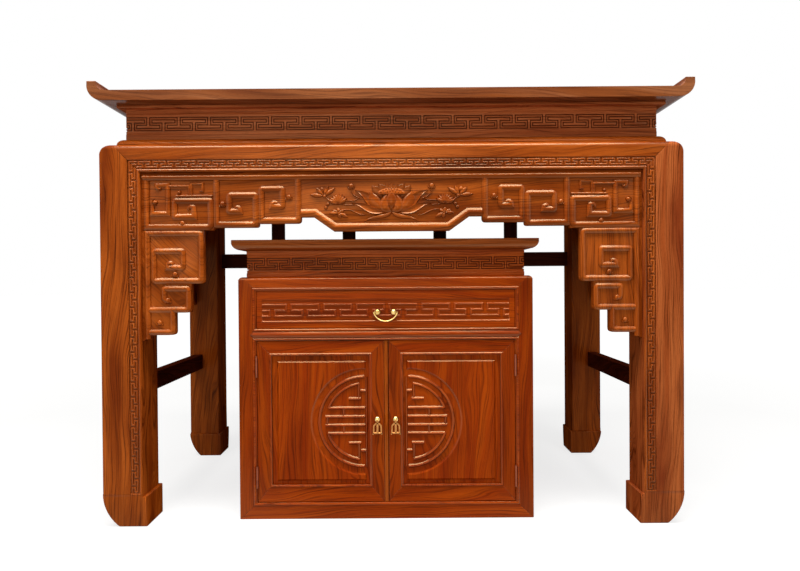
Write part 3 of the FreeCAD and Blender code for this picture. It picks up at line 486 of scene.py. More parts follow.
def sweep(bm, path, section, closed=False):
    # carries a section of (across, out) along a path of (x, y), (x, y, size) or (x, y, width, height)
    points = [Vector(point[:2]) for point in path]
    sizes = [(tuple(point[2:]) * 2 + (1.0, 1.0))[:2] for point in path]
    count = len(points)
    stations = []
    for i, point in enumerate(points):
        headings = []
        if i > 0 or closed:
            headings.append((point - points[i - 1]).normalized())
        if i < count - 1 or closed:
            headings.append((points[(i + 1) % count] - point).normalized())
        first, last = headings[0], headings[-1]
        across = Vector((-first.y - last.y, first.x + last.x)) / (1 + first.dot(last)) * sizes[i][0]
        ahead = first + last
        stations.append(Matrix(((across.x, ahead.x, 0, point.x), (across.y, ahead.y, 0, point.y),
                                (0, 0, sizes[i][1], 0), (0, 0, 0, 1))))
    ring = [bm.verts.new(stations[0] @ Vector((a, 0, out))) for a, out in section]
    startEdges = [bm.edges.new((ring[i - 1], ring[i])) for i in range(len(ring))]
    edges = startEdges
    here = stations[0]
    for station in stations[1:] + (stations[:1] if closed else []):
        grown = bmesh.ops.extrude_edge_only(bm, edges=edges)["geom"]
        verts = only(grown, bmesh.types.BMVert)
        bmesh.ops.transform(bm, matrix=station @ here.inverted(), verts=verts)
        fresh = set(verts)
        edges = [edge for edge in only(grown, bmesh.types.BMEdge) if fresh.issuperset(edge.verts)]
        here = station
    if closed:
        bmesh.ops.remove_doubles(bm, verts=ring + verts, dist=0.001)
    else:
        bmesh.ops.edgeloop_fill(bm, edges=startEdges)
        bmesh.ops.edgeloop_fill(bm, edges=edges)


def rectangle(left, right, low, high):
    return [(left, low), (right, low), (right, high), (left, high)]


def plate(bm, outline, low, high, ease, slope=None):
    # a flat raised shape with its upper rim eased, or with a sloping rim of (run, rise) on top
    face = bm.faces.new([bm.verts.new((x, y, low)) for x, y in outline])
    grown = bmesh.ops.extrude_face_region(bm, geom=[face])["geom"]
    lifted = only(grown, bmesh.types.BMVert)
    bmesh.ops.translate(bm, verts=lifted, vec=(0, 0, high - low))
    tops = only(grown, bmesh.types.BMFace)
    rim = [edge for top in tops if set(top.verts) <= set(lifted) for edge in top.edges]
    if ease:
        bmesh.ops.bevel(bm, geom=rim, offset=ease, offset_type="OFFSET", segments=2, profile=0.5,
                        affect="EDGES", material=-1)
    if slope:
        bmesh.ops.recalc_face_normals(bm, faces=bm.faces)
        bmesh.ops.inset_region(bm, faces=tops, thickness=slope[0], depth=slope[1], use_even_offset=True)


def softCorners(corners, steps=5):
    # an outline of (x, y) or (x, y, radius) with its corners rounded
    outline = []
    for i, corner in enumerate(corners):
        point = Vector(corner[:2])
        radius = corner[2] if len(corner) > 2 else 0
        if not radius:
            outline.append(point)
            continue
        back = (Vector(corners[i - 1][:2]) - point).normalized()
        ahead = (Vector(corners[(i + 1) % len(corners)][:2]) - point).normalized()
        run = radius / math.tan(back.angle(ahead) / 2)
        for step in range(steps + 1):
            share = step / steps
            outline.append(point + back * run * (1 - share) ** 2 + ahead * run * share ** 2)
    return outline


def curl(end, heading, turn, radius, degrees, closing=0.45, tail=0.45, steps=9):
    # points of a hook that closes in on itself, from a bar's end with this heading in degrees
    angle = math.radians(heading + 90 * turn)
    centre = Vector(end) + radius * Vector((math.cos(angle), math.sin(angle)))
    points = []
    for i in range(1, steps + 1):
        share = i / steps
        bearing = angle + math.pi + math.radians(degrees * share) * turn
        reach = radius * (1 - closing * share)
        points.append((centre.x + reach * math.cos(bearing), centre.y + reach * math.sin(bearing),
                       1 - (1 - tail) * share))
    return points


def leafSection(width, rise, full):
    # a leaf's section: a full, rounded back, or a raised rim on either side of a hollowed middle
    if full:
        half = [(1, -1 / rise), (1, 0.25), (0.85, 0.55), (0.5, 0.85), (0, 1)]
    else:
        half = [(1, -1 / rise), (1, 0.4), (0.86, 1), (0.55, 0.76), (0, 0.6)]
    right = [(width / 2 * a, rise * out) for a, out in half]
    return right + [(-a, out) for a, out in reversed(right[:-1])]


def petal(bm, curve, width, rise, fullest=1.3, tipRise=0.6, full=True, steps=12):
    # a pointed leaf along a curve of two or four points, that bulges near its base and falls off to the
    # tip; a fullest over 1 moves its widest part to the tip
    crest, tipWidth = 0.3, 0.07  # share of its length where it is highest, and of its width left at the tip
    base, tip = Vector(curve[0]), Vector(curve[-1])
    pulls = [Vector(point) for point in curve[1:-1]] or [base.lerp(tip, 0.33), base.lerp(tip, 0.67)]
    path = []
    for i, spot in enumerate(interpolate_bezier(base, *pulls, tip, steps + 1)):
        share = i / steps
        swell = math.sin(math.pi * (0.1 + 0.9 * share) ** fullest)
        if share < crest:
            lift = 0.35 + 0.65 * math.sin(math.pi / 2 * share / crest)
        else:
            lift = 1 - (1 - tipRise) * ((share - crest) / (1 - crest)) ** 1.3
        path.append((spot[0], spot[1], max(swell, tipWidth), lift))
    sweep(bm, path, leafSection(width, rise, full))


def dome(bm, stand, radii):
    bmesh.ops.create_uvsphere(bm, u_segments=14, v_segments=10, radius=1.0,
                              matrix=stand @ Matrix.Diagonal((*radii, 1)))


def bud(bm, x, y, radius, tip, rise=8):
    # a round bud between two small leaves, its tip at this bearing in degrees
    stand = Matrix.Translation((x, y, 0)) @ Matrix.Rotation(math.radians(tip - 90), 4, "Z")
    dome(bm, stand, (radius, radius * 1.15, rise))
    for side in (-1, 1):
        curve = [(side * 0.2, -1.15), (side * 1.0, -1.0), (side * 1.3, -0.3), (side * 1.25, 0.3)]
        curve = [(stand @ Vector((a * radius, b * radius, 0)))[:2] for a, b in curve]
        petal(bm, curve, radius * 0.6, rise * 0.6)


def stem(bm, curve, width, rise, steps=14):
    points = interpolate_bezier(*[Vector(point) for point in curve], steps)
    sweep(bm, [point[:2] for point in points], halfRound(width, rise))


def spiral(bm, section, corners, hook=None, taper=(1, 1)):
    # a bar along an outline with rounded corners, that may taper to its ends or end in a hook
    path = softCorners(corners)
    path[0], path[-1] = (*path[0], taper[0]), (*path[-1], taper[1])
    sweep(bm, path + (curl(*hook) if hook else []), section)


def carveSpirals(look):
    bm = bmesh.new()
    for bar, *course in look["spirals"]:
        spiral(bm, ridgeBar(*look["bars"][bar]), *course)
    for budLook in look["buds"]:
        bud(bm, *budLook)
    return bm


def steppedBoard(outline, thick=17, ease=1.0):
    bm = bmesh.new()
    plate(bm, softCorners(outline), -thick, 0, ease)
    return bm


fretGround = {"sink": 0.6, "rise": 0.2, "combSink": 0.5}


def fret(start, end, look):
    # a ribbon that meanders about a level and is cut off at both ends, with one T hanging at the look's
    # first; a groove sets it between two combs of T shapes, and a height gives it a ground sheet that carries
    # painted shade in the grooves
    bm = bmesh.new()
    level = look["level"]
    period, rows, turnIn, ribbon = [look[key] for key in ("period", "rows", "turnIn", "ribbon")]
    first = look["first"] - period * math.ceil((look["first"] - start) / period + 1)
    hangs = [first + i * period for i in range(math.ceil((end - first) / period) + 1)]
    if "groove" in look:
        section = flatBar(ribbon, look["rise"], look["ease"])
    else:
        section = ridgeBar(ribbon, look["wall"], look["rise"])
    path = []
    for x in hangs:
        back, ahead = x - period / 2 + turnIn, x + period / 2 - turnIn
        path += [(x - turnIn, rows), (x - turnIn, 0), (back, 0), (back, -rows), (ahead, -rows), (ahead, 0),
                 (x + turnIn, 0), (x + turnIn, rows)]
    sweep(bm, [(x, level + y) for x, y in path], section)
    if "groove" in look:
        gap = ribbon / 2 + look["groove"]
        half, reach, edge = turnIn - gap, period / 2 - turnIn - gap, rows + gap
        comb = []
        for x in hangs:
            comb += [(x - half, edge), (x - half, -gap), (x - reach, -gap), (x - reach, gap - rows),
                     (x + reach, gap - rows), (x + reach, -gap), (x + half, -gap), (x + half, edge)]
        left, right = first - period, hangs[-1] + period
        comb = [(left, look["high"] / 2), (left, edge)] + comb + [(right, edge), (right, look["high"] / 2)]
        for outline in (comb, [(x - period / 2, -y) for x, y in comb]):
            plate(bm, [(x, level + y) for x, y in outline], -fretGround["combSink"], look["rise"],
                  look["ease"])
    if "high" in look:
        # a ground sheet low in the grooves, where the painted shade is darkest
        ground = rectangle(first, hangs[-1], level - look["high"] / 2, level + look["high"] / 2)
        plate(bm, ground, -fretGround["sink"], fretGround["rise"], 0)
    for x, outwards in ((start, -1), (end, 1)):
        cut = bmesh.ops.bisect_plane(bm, geom=bm.verts[:] + bm.edges[:] + bm.faces[:], dist=0.0001,
                                     plane_co=(x, 0, 0), plane_no=(outwards, 0, 0), clear_outer=True)
        bmesh.ops.edgeloop_fill(bm, edges=only(cut["geom_cut"], bmesh.types.BMEdge))
    return bm


# table boards
strip = {"inner": 739, "outer": 766, "foot": 98, "rail": (1044, 1071), "face": -422, "sunk": 3.2}
stripFloor = strip["face"] + strip["sunk"]
railLow, railHigh = strip["rail"]
channelDepth = (strip["face"] - boardCut["spare"], stripFloor)
legChannel = (*channelDepth, strip["foot"], railHigh)
railChannel = (-strip["outer"], strip["outer"], *channelDepth, railLow, railHigh)
shoulderEdge = {"front": strip["face"], "top": 1117, "radius": 16, "half": 850}
waistLip = (1213, 1220)
tableEase = {"boards": 1.4 * mm, "legs": 2.6 * mm, "inside": 0.8 * mm}
for node in ("top_boards", "top_front_rail", "top_rear_rail", "top_end_left", "top_end_right"):
    board(node, topWood, tableEase["boards"])
board("waist_plinth", legWood, tableEase["boards"])
for node in ("shoulder_rail_rear", "shoulder_rail_left", "shoulder_rail_right"):
    board(node, tableWood, tableEase["boards"])
for node in ("waist_front", "waist_rear", "waist_ends"):
    board(node, paintedLitWaistWood, tableEase["boards"], step=waistLip)
for node in ("leg_rear_left", "leg_rear_right"):
    board(node, legWood, tableEase["legs"])
for node, material, ends in (("leg_front_right", grainAndPaintedLitLegWood, (strip["inner"], strip["outer"])),
                             ("leg_front_left", legWood, (-strip["outer"], -strip["inner"]))):
    board(node, material, tableEase["legs"], channel=(*ends, *legChannel), topEdge=shoulderEdge)
board("shoulder_rail_front", tableWood, tableEase["boards"], channel=railChannel, topEdge=shoulderEdge)
for node in ("side_stretchers", "rear_stretcher", "rear_slats"):
    board(node, paintedShadeWood, tableEase["boards"])
board("top_battens", innerWood, tableEase["inside"])
print("table boards eased")

# T fret on the waist, front and sides
waistFret = {"level": 1188.3, "half": (790, 365), "period": 91, "first": -726, "rows": 16.1, "turnIn": 7.9,
             "ribbon": 4.2, "groove": 2.6, "high": 63, "rise": 3, "ease": 1.1}
halfLong, halfDeep = waistFret["half"]
setCarving("waist_fret_front", fret(-halfLong, halfLong, waistFret), onFront(-halfDeep), "waist_front",
           paintedLitWaistWood, "comb")
for side, sign in (("left", -1), ("right", 1)):
    setCarving("waist_fret_" + side, fret(-halfDeep, halfDeep, waistFret), onSide(sign * halfLong, sign),
               "waist_ends", paintedLitWaistWood, "comb")

# narrow meander that runs up the legs and along the rail in its sunk strip, with a bead inside it
stripMiddle = (strip["inner"] + strip["outer"]) / 2
railMiddle = (railLow + railHigh) / 2
stripFret = {"level": railMiddle, "period": 43.45, "first": -651.8, "rows": 7.8, "turnIn": 4.7, "ribbon": 4.6,
             "high": 26, "wall": 1.8, "rise": 1.2, "bead": (6.4, 0.4, 1.7), "beadIn": 4,
             "ledge": (5, 2.2, 1.8)}
legFret = dict(stripFret, level=stripMiddle, first=817)
beadWide, beadWall, beadRise = stripFret["bead"]
edgeBead = ridgeBar(beadWide, strip["sunk"] + beadWall, beadRise)
ribbonBar = ridgeBar(stripFret["ribbon"], stripFret["wall"], stripFret["rise"])
bm = fret(-strip["inner"], strip["inner"], stripFret)
beadLevel = railLow - stripFret["beadIn"]
beadX = strip["inner"] - stripFret["beadIn"]
beadEnd = beadX + beadWide / 2
sweep(bm, [(-beadEnd, beadLevel), (beadEnd, beadLevel)], edgeBead)
for sign in (-1, 1):
    for reach in (0, stripFret["rows"]):
        turnX, turnLevel = sign * (stripMiddle + reach), railMiddle + reach
        sweep(bm, [(turnX, railLow), (turnX, turnLevel), (sign * strip["inner"], turnLevel)], ribbonBar)
setCarving("rail_fret", bm, onFront(stripFloor), "shoulder_rail_front", tableWood, "strip")
upright = Matrix.Rotation(math.radians(90), 4, "Z")
foot = strip["foot"]
for side, turned in (("left", Matrix.Identity(4)), ("right", Matrix.Diagonal((-1, 1, 1, 1)))):
    bm = fret(foot, railLow, legFret)
    sweep(bm, [(foot, beadX), (beadLevel, beadX)], edgeBead)
    sweep(bm, [(foot, strip["inner"]), (foot, strip["outer"])], ridgeBar(*stripFret["ledge"]))
    setCarving("leg_fret_" + side, bm, onFront(stripFloor) @ turned @ upright, "leg_front_" + side, tableWood,
               "strip")
print("frets carved")

# front apron: a stepped board with rounded beads that turn into square spirals
apron = {
    "ground": -409, "top": 1036, "half": 731,
    "steps": ((731, 867), (520, 867, 5.6), (520, 874), (388, 874, 8.8), (388, 885), (264, 885, 12),
              (264, 903), (228, 903), (169, 861)),
    "bars": {"bead": (17, 3.4, 4.5), "bar": (14, 3.4, 3.8), "thin": (7, 3.4, 2.6), "border": (23, 3.4, 6),
             "topBead": (17, 5.6, 5.6)},
    "spirals": (  # bar, corners, hook as curl takes it, taper; the right half is the mirror of this one
        ("topBead", ((0, 1021), (-724.5, 1021))),
        ("bead", ((-716, 1021), (-716, 876), (-528.5, 876, 9), (-528.5, 953, 5), (-634, 953, 5),
                  (-634, 906, 5), (-576.6, 906)), ((-576.6, 928), 90, 1, 10, 200)),
        ("bar", ((-699, 941), (-699, 915.5), (-653, 915.5), (-653, 999), (-684.6, 999)),
         ((-684.6, 993), 270, 1, 7, 170), (0.7, 1)),
        ("thin", ((-651, 995.9), (-590, 995.9), (-590, 967))),
        ("thin", ((-628, 967), (-522, 967))),
        ("thin", ((-584, 967), (-584, 1003), (-551, 1003), (-551, 981), (-560, 980)), None, (1, 0.6)),
        ("bead", ((-511, 1021), (-511, 882.5), (-397, 882.5, 9), (-397, 968, 5), (-474.4, 968, 5),
                  (-474.4, 921, 5), (-443.7, 921)), ((-443.7, 925), 90, 1, 9, 200)),
        ("bead", ((-272.5, 1021), (-272.5, 893.5, 9), (-380, 893.5), (-380, 985.7, 5), (-318.8, 985.7, 5),
                  (-318.8, 934, 5), (-348.6, 934)), ((-348.6, 938), 90, -1, 9, 200)),
        ("border", ((-264, 915), (-224.2, 915), (-165.2, 873), (0, 873)))),
    "buds": ((-611, 887, 8, 90), (-690.7, 949, 7, 20), (-494, 942.5, 8, 90), (-299.5, 961.5, 8, 90),
             (-620, 977, 5, 180))}


def apronOutline(look):
    # the same on both sides of the middle
    left = [(-x, *rest) for x, *rest in reversed(look["steps"])]
    return [(-look["half"], apron["top"]), (look["half"], apron["top"]), *look["steps"], *left]


onApron = onFront(apron["ground"])
boardPiece("apron_front_board", steppedBoard(apronOutline(apron)), onApron, "apron_front", tableWood)
setCarving("apron_front_spirals", mirrored(carveSpirals(apron)), onApron, "apron_front", tableWood, "bars")

# lotus with its side flowers in the middle of the apron
lotus = {
    "petals": (  # curve, width, rise, fullest, tip's rise, full back; the left half, back petals first
        (((-20, 950), (-57, 993)), 26, 3.4, 1.7, 1, True), (((-10, 955), (-37, 999)), 26, 3.6, 1.7, 1, True),
        (((-4, 955), (-15, 1001)), 24, 3.8, 1.7, 1, True),
        (((-26, 926), (-62, 926), (-54, 966), (-106, 979)), 30, 8, 1.2, 0.6, False),
        (((-12, 926), (-50, 928), (-58, 956), (-60, 978)), 40, 10.5, 1.3, 0.5, True),
        (((-10, 919), (-70, 908), (-66, 942), (-116, 941)), 22, 10, 1.15, 0.5, False),
        (((-1, 919), (-12, 897), (-54, 910), (-80, 888)), 14, 9, 0.9, 0.5, True),
        (((-2, 921), (-27, 923), (-24, 948), (-12, 970)), 33, 14.5, 0.95, 0.5, True)),
    "crest": (((0, 955), (0, 1002)), 24, 4, 1.7, 1), "front": (((0, 926), (0, 979)), 38, 13.5, 1.1, 0.75),
    "pod": (0, 970, 39, 17), "podThick": (-1, 4), "podEase": 1.2, "podSlope": 0.24, "seed": (2.2, 4),
    "creaseAngle": 50,
    "seeds": ((-31, 974.5), (-24, 979), (-16, 982.5), (-8, 984.5), (0, 985), (-20, 973.5), (-12, 976.5),
              (-4, 978.5)),
    "stems": (((-78, 908), (-107, 908), (-112, 931), (-148, 921)),
              ((-107, 938), (-122, 938), (-131, 936), (-146, 941)),
              ((-90, 955), (-102, 962), (-116, 964), (-117, 984)),
              ((-97, 957), (-112, 944), (-122, 954), (-136, 949)),
              ((-172, 944), (-180, 952), (-186, 954), (-194, 962))), "stem": (4.4, 4.5),
    "balls": ((-194.7, 963.7, 6.6, 7), (-154, 914, 6.5, 7), (-186, 940, 6, 5.5), (-192, 930, 5.5, 5)),
    "flowers": (  # base, tips, width, rise
        ((-197, 964), ((-238, 968), (-221, 989), (-184, 994), (-164, 988)), 14, 8),
        ((-156, 939), ((-186, 953), (-180, 960), (-172, 966), (-164, 970), (-154, 971), (-145, 969),
                       (-137, 964), (-130, 957)), 13, 9),
        ((-154, 914), ((-182, 914), (-174, 923), (-157, 930), (-138, 924), (-127, 901), (-149, 897)), 13, 8)),
    "buds": ((-117.5, 992, 8, 95), (-203, 982, 7.5, 90))}


def lotusHalf():
    bm = bmesh.new()
    for petalLook in lotus["petals"]:
        petal(bm, *petalLook)
    for base, tips, width, rise in lotus["flowers"]:
        for tip in tips:
            petal(bm, (base, tip), width, rise)
    for curve in lotus["stems"]:
        stem(bm, curve, *lotus["stem"])
    for x, y, radius, rise in lotus["balls"]:
        dome(bm, Matrix.Translation((x, y, 0)), (radius, radius, rise))
    for budLook in lotus["buds"]:
        bud(bm, *budLook)
    return bm


def lotusPod():
    # the upper half of an oval, with two rows of seeds
    bm = bmesh.new()
    x, y, halfWide, halfHigh = lotus["pod"]
    turns = [math.radians(10 * i - 10) for i in range(21)]
    outline = [(x + halfWide * math.cos(a), y + halfHigh * math.sin(a)) for a in turns]
    plate(bm, outline, *lotus["podThick"], lotus["podEase"])
    seedRadius, seedRise = lotus["seed"]
    for seedX, seedY in lotus["seeds"]:
        for side in (-1, 1) if seedX else (1,):
            bmesh.ops.create_uvsphere(bm, u_segments=8, v_segments=6, radius=seedRadius,
                                      matrix=Matrix.Translation((side * seedX, seedY, seedRise)))
    return bm


bm = mirrored(lotusHalf())
petal(bm, *lotus["crest"])
petal(bm, *lotus["front"])
setCarving("apron_lotus", bm, onApron, "apron_front", tableWood, "lotus", lotus["creaseAngle"])
# the pod leans back to its top
podTop = lotus["pod"][1] + lotus["pod"][3]
slope = lotus["podSlope"]
tilt = Matrix(((1, 0, 0, 0), (0, 1, 0, 0), (0, -slope, 1, slope * podTop), (0, 0, 0, 1)))
setCarving("apron_lotus_pod", lotusPod(), onApron @ tilt, "apron_front", tableWood)
print("apron carved")

# stepped front brackets
bracket = {
    "outline": ((-731, 867), (-549.5, 867), (-549.5, 711, 12), (-587, 711), (-587, 626.5, 12), (-634, 626.5),
                (-634, 561, 12), (-702, 561), (-731, 542.5)),
    "grain": {"left": 45, "right": 4}, "bars": {"bead": (17, 3, 5.4)},
    "spirals": (
        ("bead", ((-714.5, 550), (-714.5, 858.5), (-558, 858.5, 9), (-558, 719.5, 9), (-696, 719.5, 5),
                  (-696, 806, 5), (-611, 806, 5), (-611, 758, 5), (-654.6, 758)),
         ((-654.6, 764), 90, -1, 9, 200)),
        ("bead", ((-709, 635), (-595.5, 635, 9), (-595.5, 697, 9), (-667, 697, 5), (-667, 668)),
         ((-667, 668), 270, 1, 9, 190)),
        ("bead", ((-642.5, 635), (-642.5, 569.5, 9), (-709, 569.5)))),
    "buds": ((-634, 738.5, 8, 90), (-656, 662, 8, 90), (-680, 597, 8, 90))}
for side, sign in (("left", 1), ("right", -1)):
    turned = onApron @ Matrix.Diagonal((sign, 1, 1, 1))
    node = "bracket_front_" + side
    boardPiece("bracket_%s_board" % side, steppedBoard(bracket["outline"]), turned, node, tableWood,
               bracket["grain"][side])
    setCarving("bracket_%s_spirals" % side, carveSpirals(bracket), turned, node, tableWood, "bars")

# side aprons and brackets, with the same beads in a plainer setting
sideApron = {
    "ground": 834, "half": 306, "steps": ((306, 867), (102, 867, 9.6), (102, 879)), "bars": apron["bars"],
    "spirals": (
        ("bead", ((0, 1021), (-291, 1021), (-291, 876), (-110.5, 876), (-110.5, 960), (-222, 960),
                  (-222, 910), (-170, 910)), ((-170, 916), 90, 1, 9, 200)),
        ("bead", ((-110.5, 887.5), (0, 887.5)))),
    "buds": ((-255, 990, 9, 135, 6),)}
sideBracket = {
    "outline": ((306, 867), (196, 867), (196, 740, 12), (236, 740), (236, 640, 12), (277, 640), (306, 621.5)),
    "bars": apron["bars"],
    "spirals": (
        ("bead", ((289.5, 630), (289.5, 858.5), (204.5, 858.5), (204.5, 748.5), (268, 748.5), (268, 815),
                  (232, 815), (232, 780))),
        ("bead", ((284, 648.5), (244.5, 648.5), (244.5, 725)))),
    "buds": ((264, 690, 8, 90, 6),)}


def joinTo(target, bm, turned):
    bmesh.ops.transform(bm, matrix=turned, verts=bm.verts)
    joined = bpy.data.meshes.new("joined")
    bm.to_mesh(joined)
    bm.free()
    target.from_mesh(joined)
    bpy.data.meshes.remove(joined)


brackets, carving = bmesh.new(), bmesh.new()
for side, sign in (("left", -1), ("right", 1)):
    faceOut = onSide(sign * sideApron["ground"], sign)
    node = "apron_" + side
    boardPiece(node + "_board", steppedBoard(apronOutline(sideApron)), faceOut, node, tableWood)
    setCarving(node + "_spirals", mirrored(carveSpirals(sideApron)), faceOut, node, tableWood, "bars")
    for end in (-1, 1):
        turned = faceOut @ Matrix.Diagonal((end, 1, 1, 1))
        joinTo(brackets, steppedBoard(sideBracket["outline"]), turned)
        joinTo(carving, carveSpirals(sideBracket), turned)
boardPiece("side_bracket_boards", brackets, Matrix.Identity(4), "side_brackets", tableWood)
setCarving("side_bracket_spirals", carving, Matrix.Identity(4), "side_brackets", tableWood)
print("brackets carved")

# cabinet boards
cabinetEase = {"boards": 1.3 * mm, "inside": 0.8 * mm}
neckBase = (748, 741)
uprightDarkening = 0.2
for node in ("cabinet_waist_front", "cabinet_waist_returns"):
    board(node, paintedLitNeckWood, cabinetEase["boards"], step=neckBase)
board("cabinet_top", crownWood, cabinetEase["boards"])
for node in ("cabinet_rear_posts", "cabinet_shoulder_rail", "cabinet_mid_rail",
             "cabinet_bottom_rail", "cabinet_carcass_rails", "cabinet_side_panels"):
    board(node, cabinetWood, cabinetEase["boards"])
for node in ("cabinet_post_front_left", "cabinet_post_front_right", "left_door_frame", "right_door_frame"):
    board(node, cabinetWood, cabinetEase["boards"], stainAndPaintedShade=uprightDarkening)
board("door_meeting_strip", paintedLitStripWood, cabinetEase["boards"])
for node in ("cabinet_back", "cabinet_floor", "drawer_runners", "dust_panel", "drawer_box", "drawer_bottom"):
    board(node, innerWood, cabinetEase["inside"])

# fret round the cabinet's neck
neckFret = {"level": 768.3, "ends": (-438, 396), "front": -339, "back": 171, "period": 76.6, "first": -384,
            "rows": 14.2, "turnIn": 6.9, "ribbon": 3.9, "groove": 2.5, "high": 55, "rise": 4, "ease": 1.1}
setCarving("neck_fret_front", fret(*neckFret["ends"], neckFret), onFront(neckFret["front"]),
           "cabinet_waist_front", paintedLitNeckWood, "comb")
for side, sign, x in zip(("left", "right"), (-1, 1), neckFret["ends"]):
    span = sorted((sign * neckFret["front"], sign * neckFret["back"]))
    setCarving("neck_fret_" + side, fret(*span, neckFret), onSide(x, sign), "cabinet_waist_returns", paintedLitNeckWood,
               "comb")

# beads round the drawer and door openings, and the fat half-round along the middle rail
beads = {"front": -364, "left": -417.4, "right": 375.4, "drawer": (569, 693), "doors": (45, 541.5),
         "bead": (7, 0.6, 2.2), "band": (20, 0, 5.2), "bandLevel": 555.2, "bandPoint": 11, "bandTip": 0.1}
left, right, level = [beads[key] for key in ("left", "right", "bandLevel")]
bm = bmesh.new()
for low, high in (beads["drawer"], beads["doors"]):
    sweep(bm, rectangle(left, right, low, high), ridgeBar(*beads["bead"]), closed=True)
sweep(bm, [(left - beads["bandPoint"], level, beads["bandTip"]), (left, level), (right, level),
           (right + beads["bandPoint"], level, beads["bandTip"])], ridgeBar(*beads["band"]))
setCarving("cabinet_beads", bm, onFront(beads["front"]), "cabinet_mid_rail", cabinetWood)
print("cabinet boards and beads done")

# drawer front: a sunk band that holds a round meander, and the seats of the bail's posts
drawerBand = {"ends": (-392, 350), "levels": (594, 660), "front": -362, "sunk": 3, "rim": (6, 2.4, 2)}
drawerFret = {"level": 628, "period": 98.5, "first": -313, "rows": 17.3, "turnIn": 8.1, "ribbon": 7,
              "wall": 2.2, "rise": 2.6}
bailSeats = {"places": (-45, 3), "level": 622.5, "radius": 9, "flare": 1, "high": 4, "middle": 1}
bandFloor = drawerBand["front"] + drawerBand["sunk"]
bandLeft, bandRight = drawerBand["ends"]
bandLow, bandHigh = drawerBand["levels"]
board("drawer_front", cabinetWood, cabinetEase["boards"],
      channel=(bandLeft, bandRight, drawerBand["front"] - boardCut["spare"], bandFloor, bandLow, bandHigh))
bm = fret(bandLeft, bandRight, drawerFret)
sweep(bm, [(bandLeft, bandLow), (bandRight, bandLow)], ridgeBar(*drawerBand["rim"]))
for x in bailSeats["places"]:
    bmesh.ops.create_cone(bm, cap_ends=True, segments=32, radius1=bailSeats["radius"] + bailSeats["flare"],
                          radius2=bailSeats["radius"], depth=bailSeats["high"],
                          matrix=Matrix.Translation((x, bailSeats["level"], bailSeats["middle"])))
setCarving("drawer_fret", bm, onFront(bandFloor), "drawer_front", cabinetWood, "band")

# doors: a raised field with half of a barred roundel sunk in it, and a bead round the panel
doorPanel = {
    "middle": -21, "board": (-376.8, -59.5, 91, 504), "thick": 8, "ground": -354,
    "field": (-351, -82, 113, 476), "fieldSink": 1, "fieldSlope": (5, 3.8), "centre": (-88, 291),
    "reach": 157, "ring": (135.5, 11, 1, 4.6), "arc": (115, 10.5, 1, 4.4), "arcEnds": (97, 263),
    "bars": (332, 306, 280, 255), "bar": (10.5, 1, 4.4), "barEnd": -86, "barLeft": (-194, -204, -204, -197),
    "keys": ((384, -98, -83), (203, -98, -83), (360, -134, -98), (226, -134, -98)),
    "links": ((-150, 332, 306), (-150, 280, 255), (-200, 306, 280), (-103.6, 404, 360), (-103.6, 226, 182)),
    "link": (8, 1, 3.2), "upright": (-81, 7, 1.4, 3)}
frameBead = {"left": (-368.5, -67.8, 99.3, 495.7), "front": -362, "bead": (7, 0.4, 2.5), "sink": 8}


def arcPoints(centre, radius, start, end, steps=40):
    turns = [math.radians(start + (end - start) * i / steps) for i in range(steps + 1)]
    return [(centre[0] + radius * math.cos(a), centre[1] + radius * math.sin(a)) for a in turns]


def panelBoard():
    # the thin panel, and the raised field on it that leaves a half-disc free
    bm = bmesh.new()
    plate(bm, rectangle(*doorPanel["board"]), -doorPanel["thick"], 0, 0)
    left, right, low, high = doorPanel["field"]
    centre, reach = doorPanel["centre"], doorPanel["reach"]
    opening = math.degrees(math.acos((right - centre[0]) / reach))
    outline = [(right, high), (left, high), (left, low), (right, low)]
    outline += arcPoints(centre, reach, 360 - opening, opening)
    plate(bm, outline, -doorPanel["fieldSink"], 0, 0, doorPanel["fieldSlope"])
    return bm


def roundelBars():
    bm = bmesh.new()
    centre = doorPanel["centre"]
    ring, *ringBar = doorPanel["ring"]
    arc, *arcBar = doorPanel["arc"]
    uprightX, *uprightBar = doorPanel["upright"]
    sweep(bm, arcPoints(centre, ring, 90, 270), ridgeBar(*ringBar))
    # the inner ring stops at the highest and lowest bars
    highest, lowest = [math.degrees(math.asin((doorPanel["bars"][i] - centre[1]) / arc)) for i in (0, -1)]
    for start, end in ((doorPanel["arcEnds"][0], 180 - highest), (180 - lowest, doorPanel["arcEnds"][1])):
        sweep(bm, arcPoints(centre, arc, start, end, 20), ridgeBar(*arcBar))
    bar = ridgeBar(*doorPanel["bar"])
    for level, left in zip(doorPanel["bars"], doorPanel["barLeft"]):
        sweep(bm, [(left, level), (doorPanel["barEnd"], level)], bar)
    for x, high, low in doorPanel["links"]:
        sweep(bm, [(x, high), (x, low)], ridgeBar(*doorPanel["link"]))
    for level, left, right in doorPanel["keys"]:
        sweep(bm, [(left, level), (right, level)], bar)
    sweep(bm, [(uprightX, centre[1] - ring), (uprightX, centre[1] + ring)], ridgeBar(*uprightBar))
    return bm


for side, sign in (("left", 1), ("right", -1)):
    shift = Matrix.Translation(((1 - sign) * doorPanel["middle"], 0, 0)) @ Matrix.Diagonal((sign, 1, 1, 1))
    onPanel = onFront(doorPanel["ground"]) @ shift
    panelNode = side + "_door_panel"
    boardPiece(panelNode + "_carved", panelBoard(), onPanel, panelNode, cabinetWood)
    setCarving("roundel_" + side, roundelBars(), onPanel, panelNode, cabinetWood, "roundel")
    bm = bmesh.new()
    sweep(bm, rectangle(*frameBead["left"]), ridgeBar(*frameBead["bead"], frameBead["sink"]), closed=True)
    setCarving("door_bead_" + side, bm, onFront(frameBead["front"]) @ shift, side + "_door_frame",
               cabinetWood)
print("drawer and doors carved")
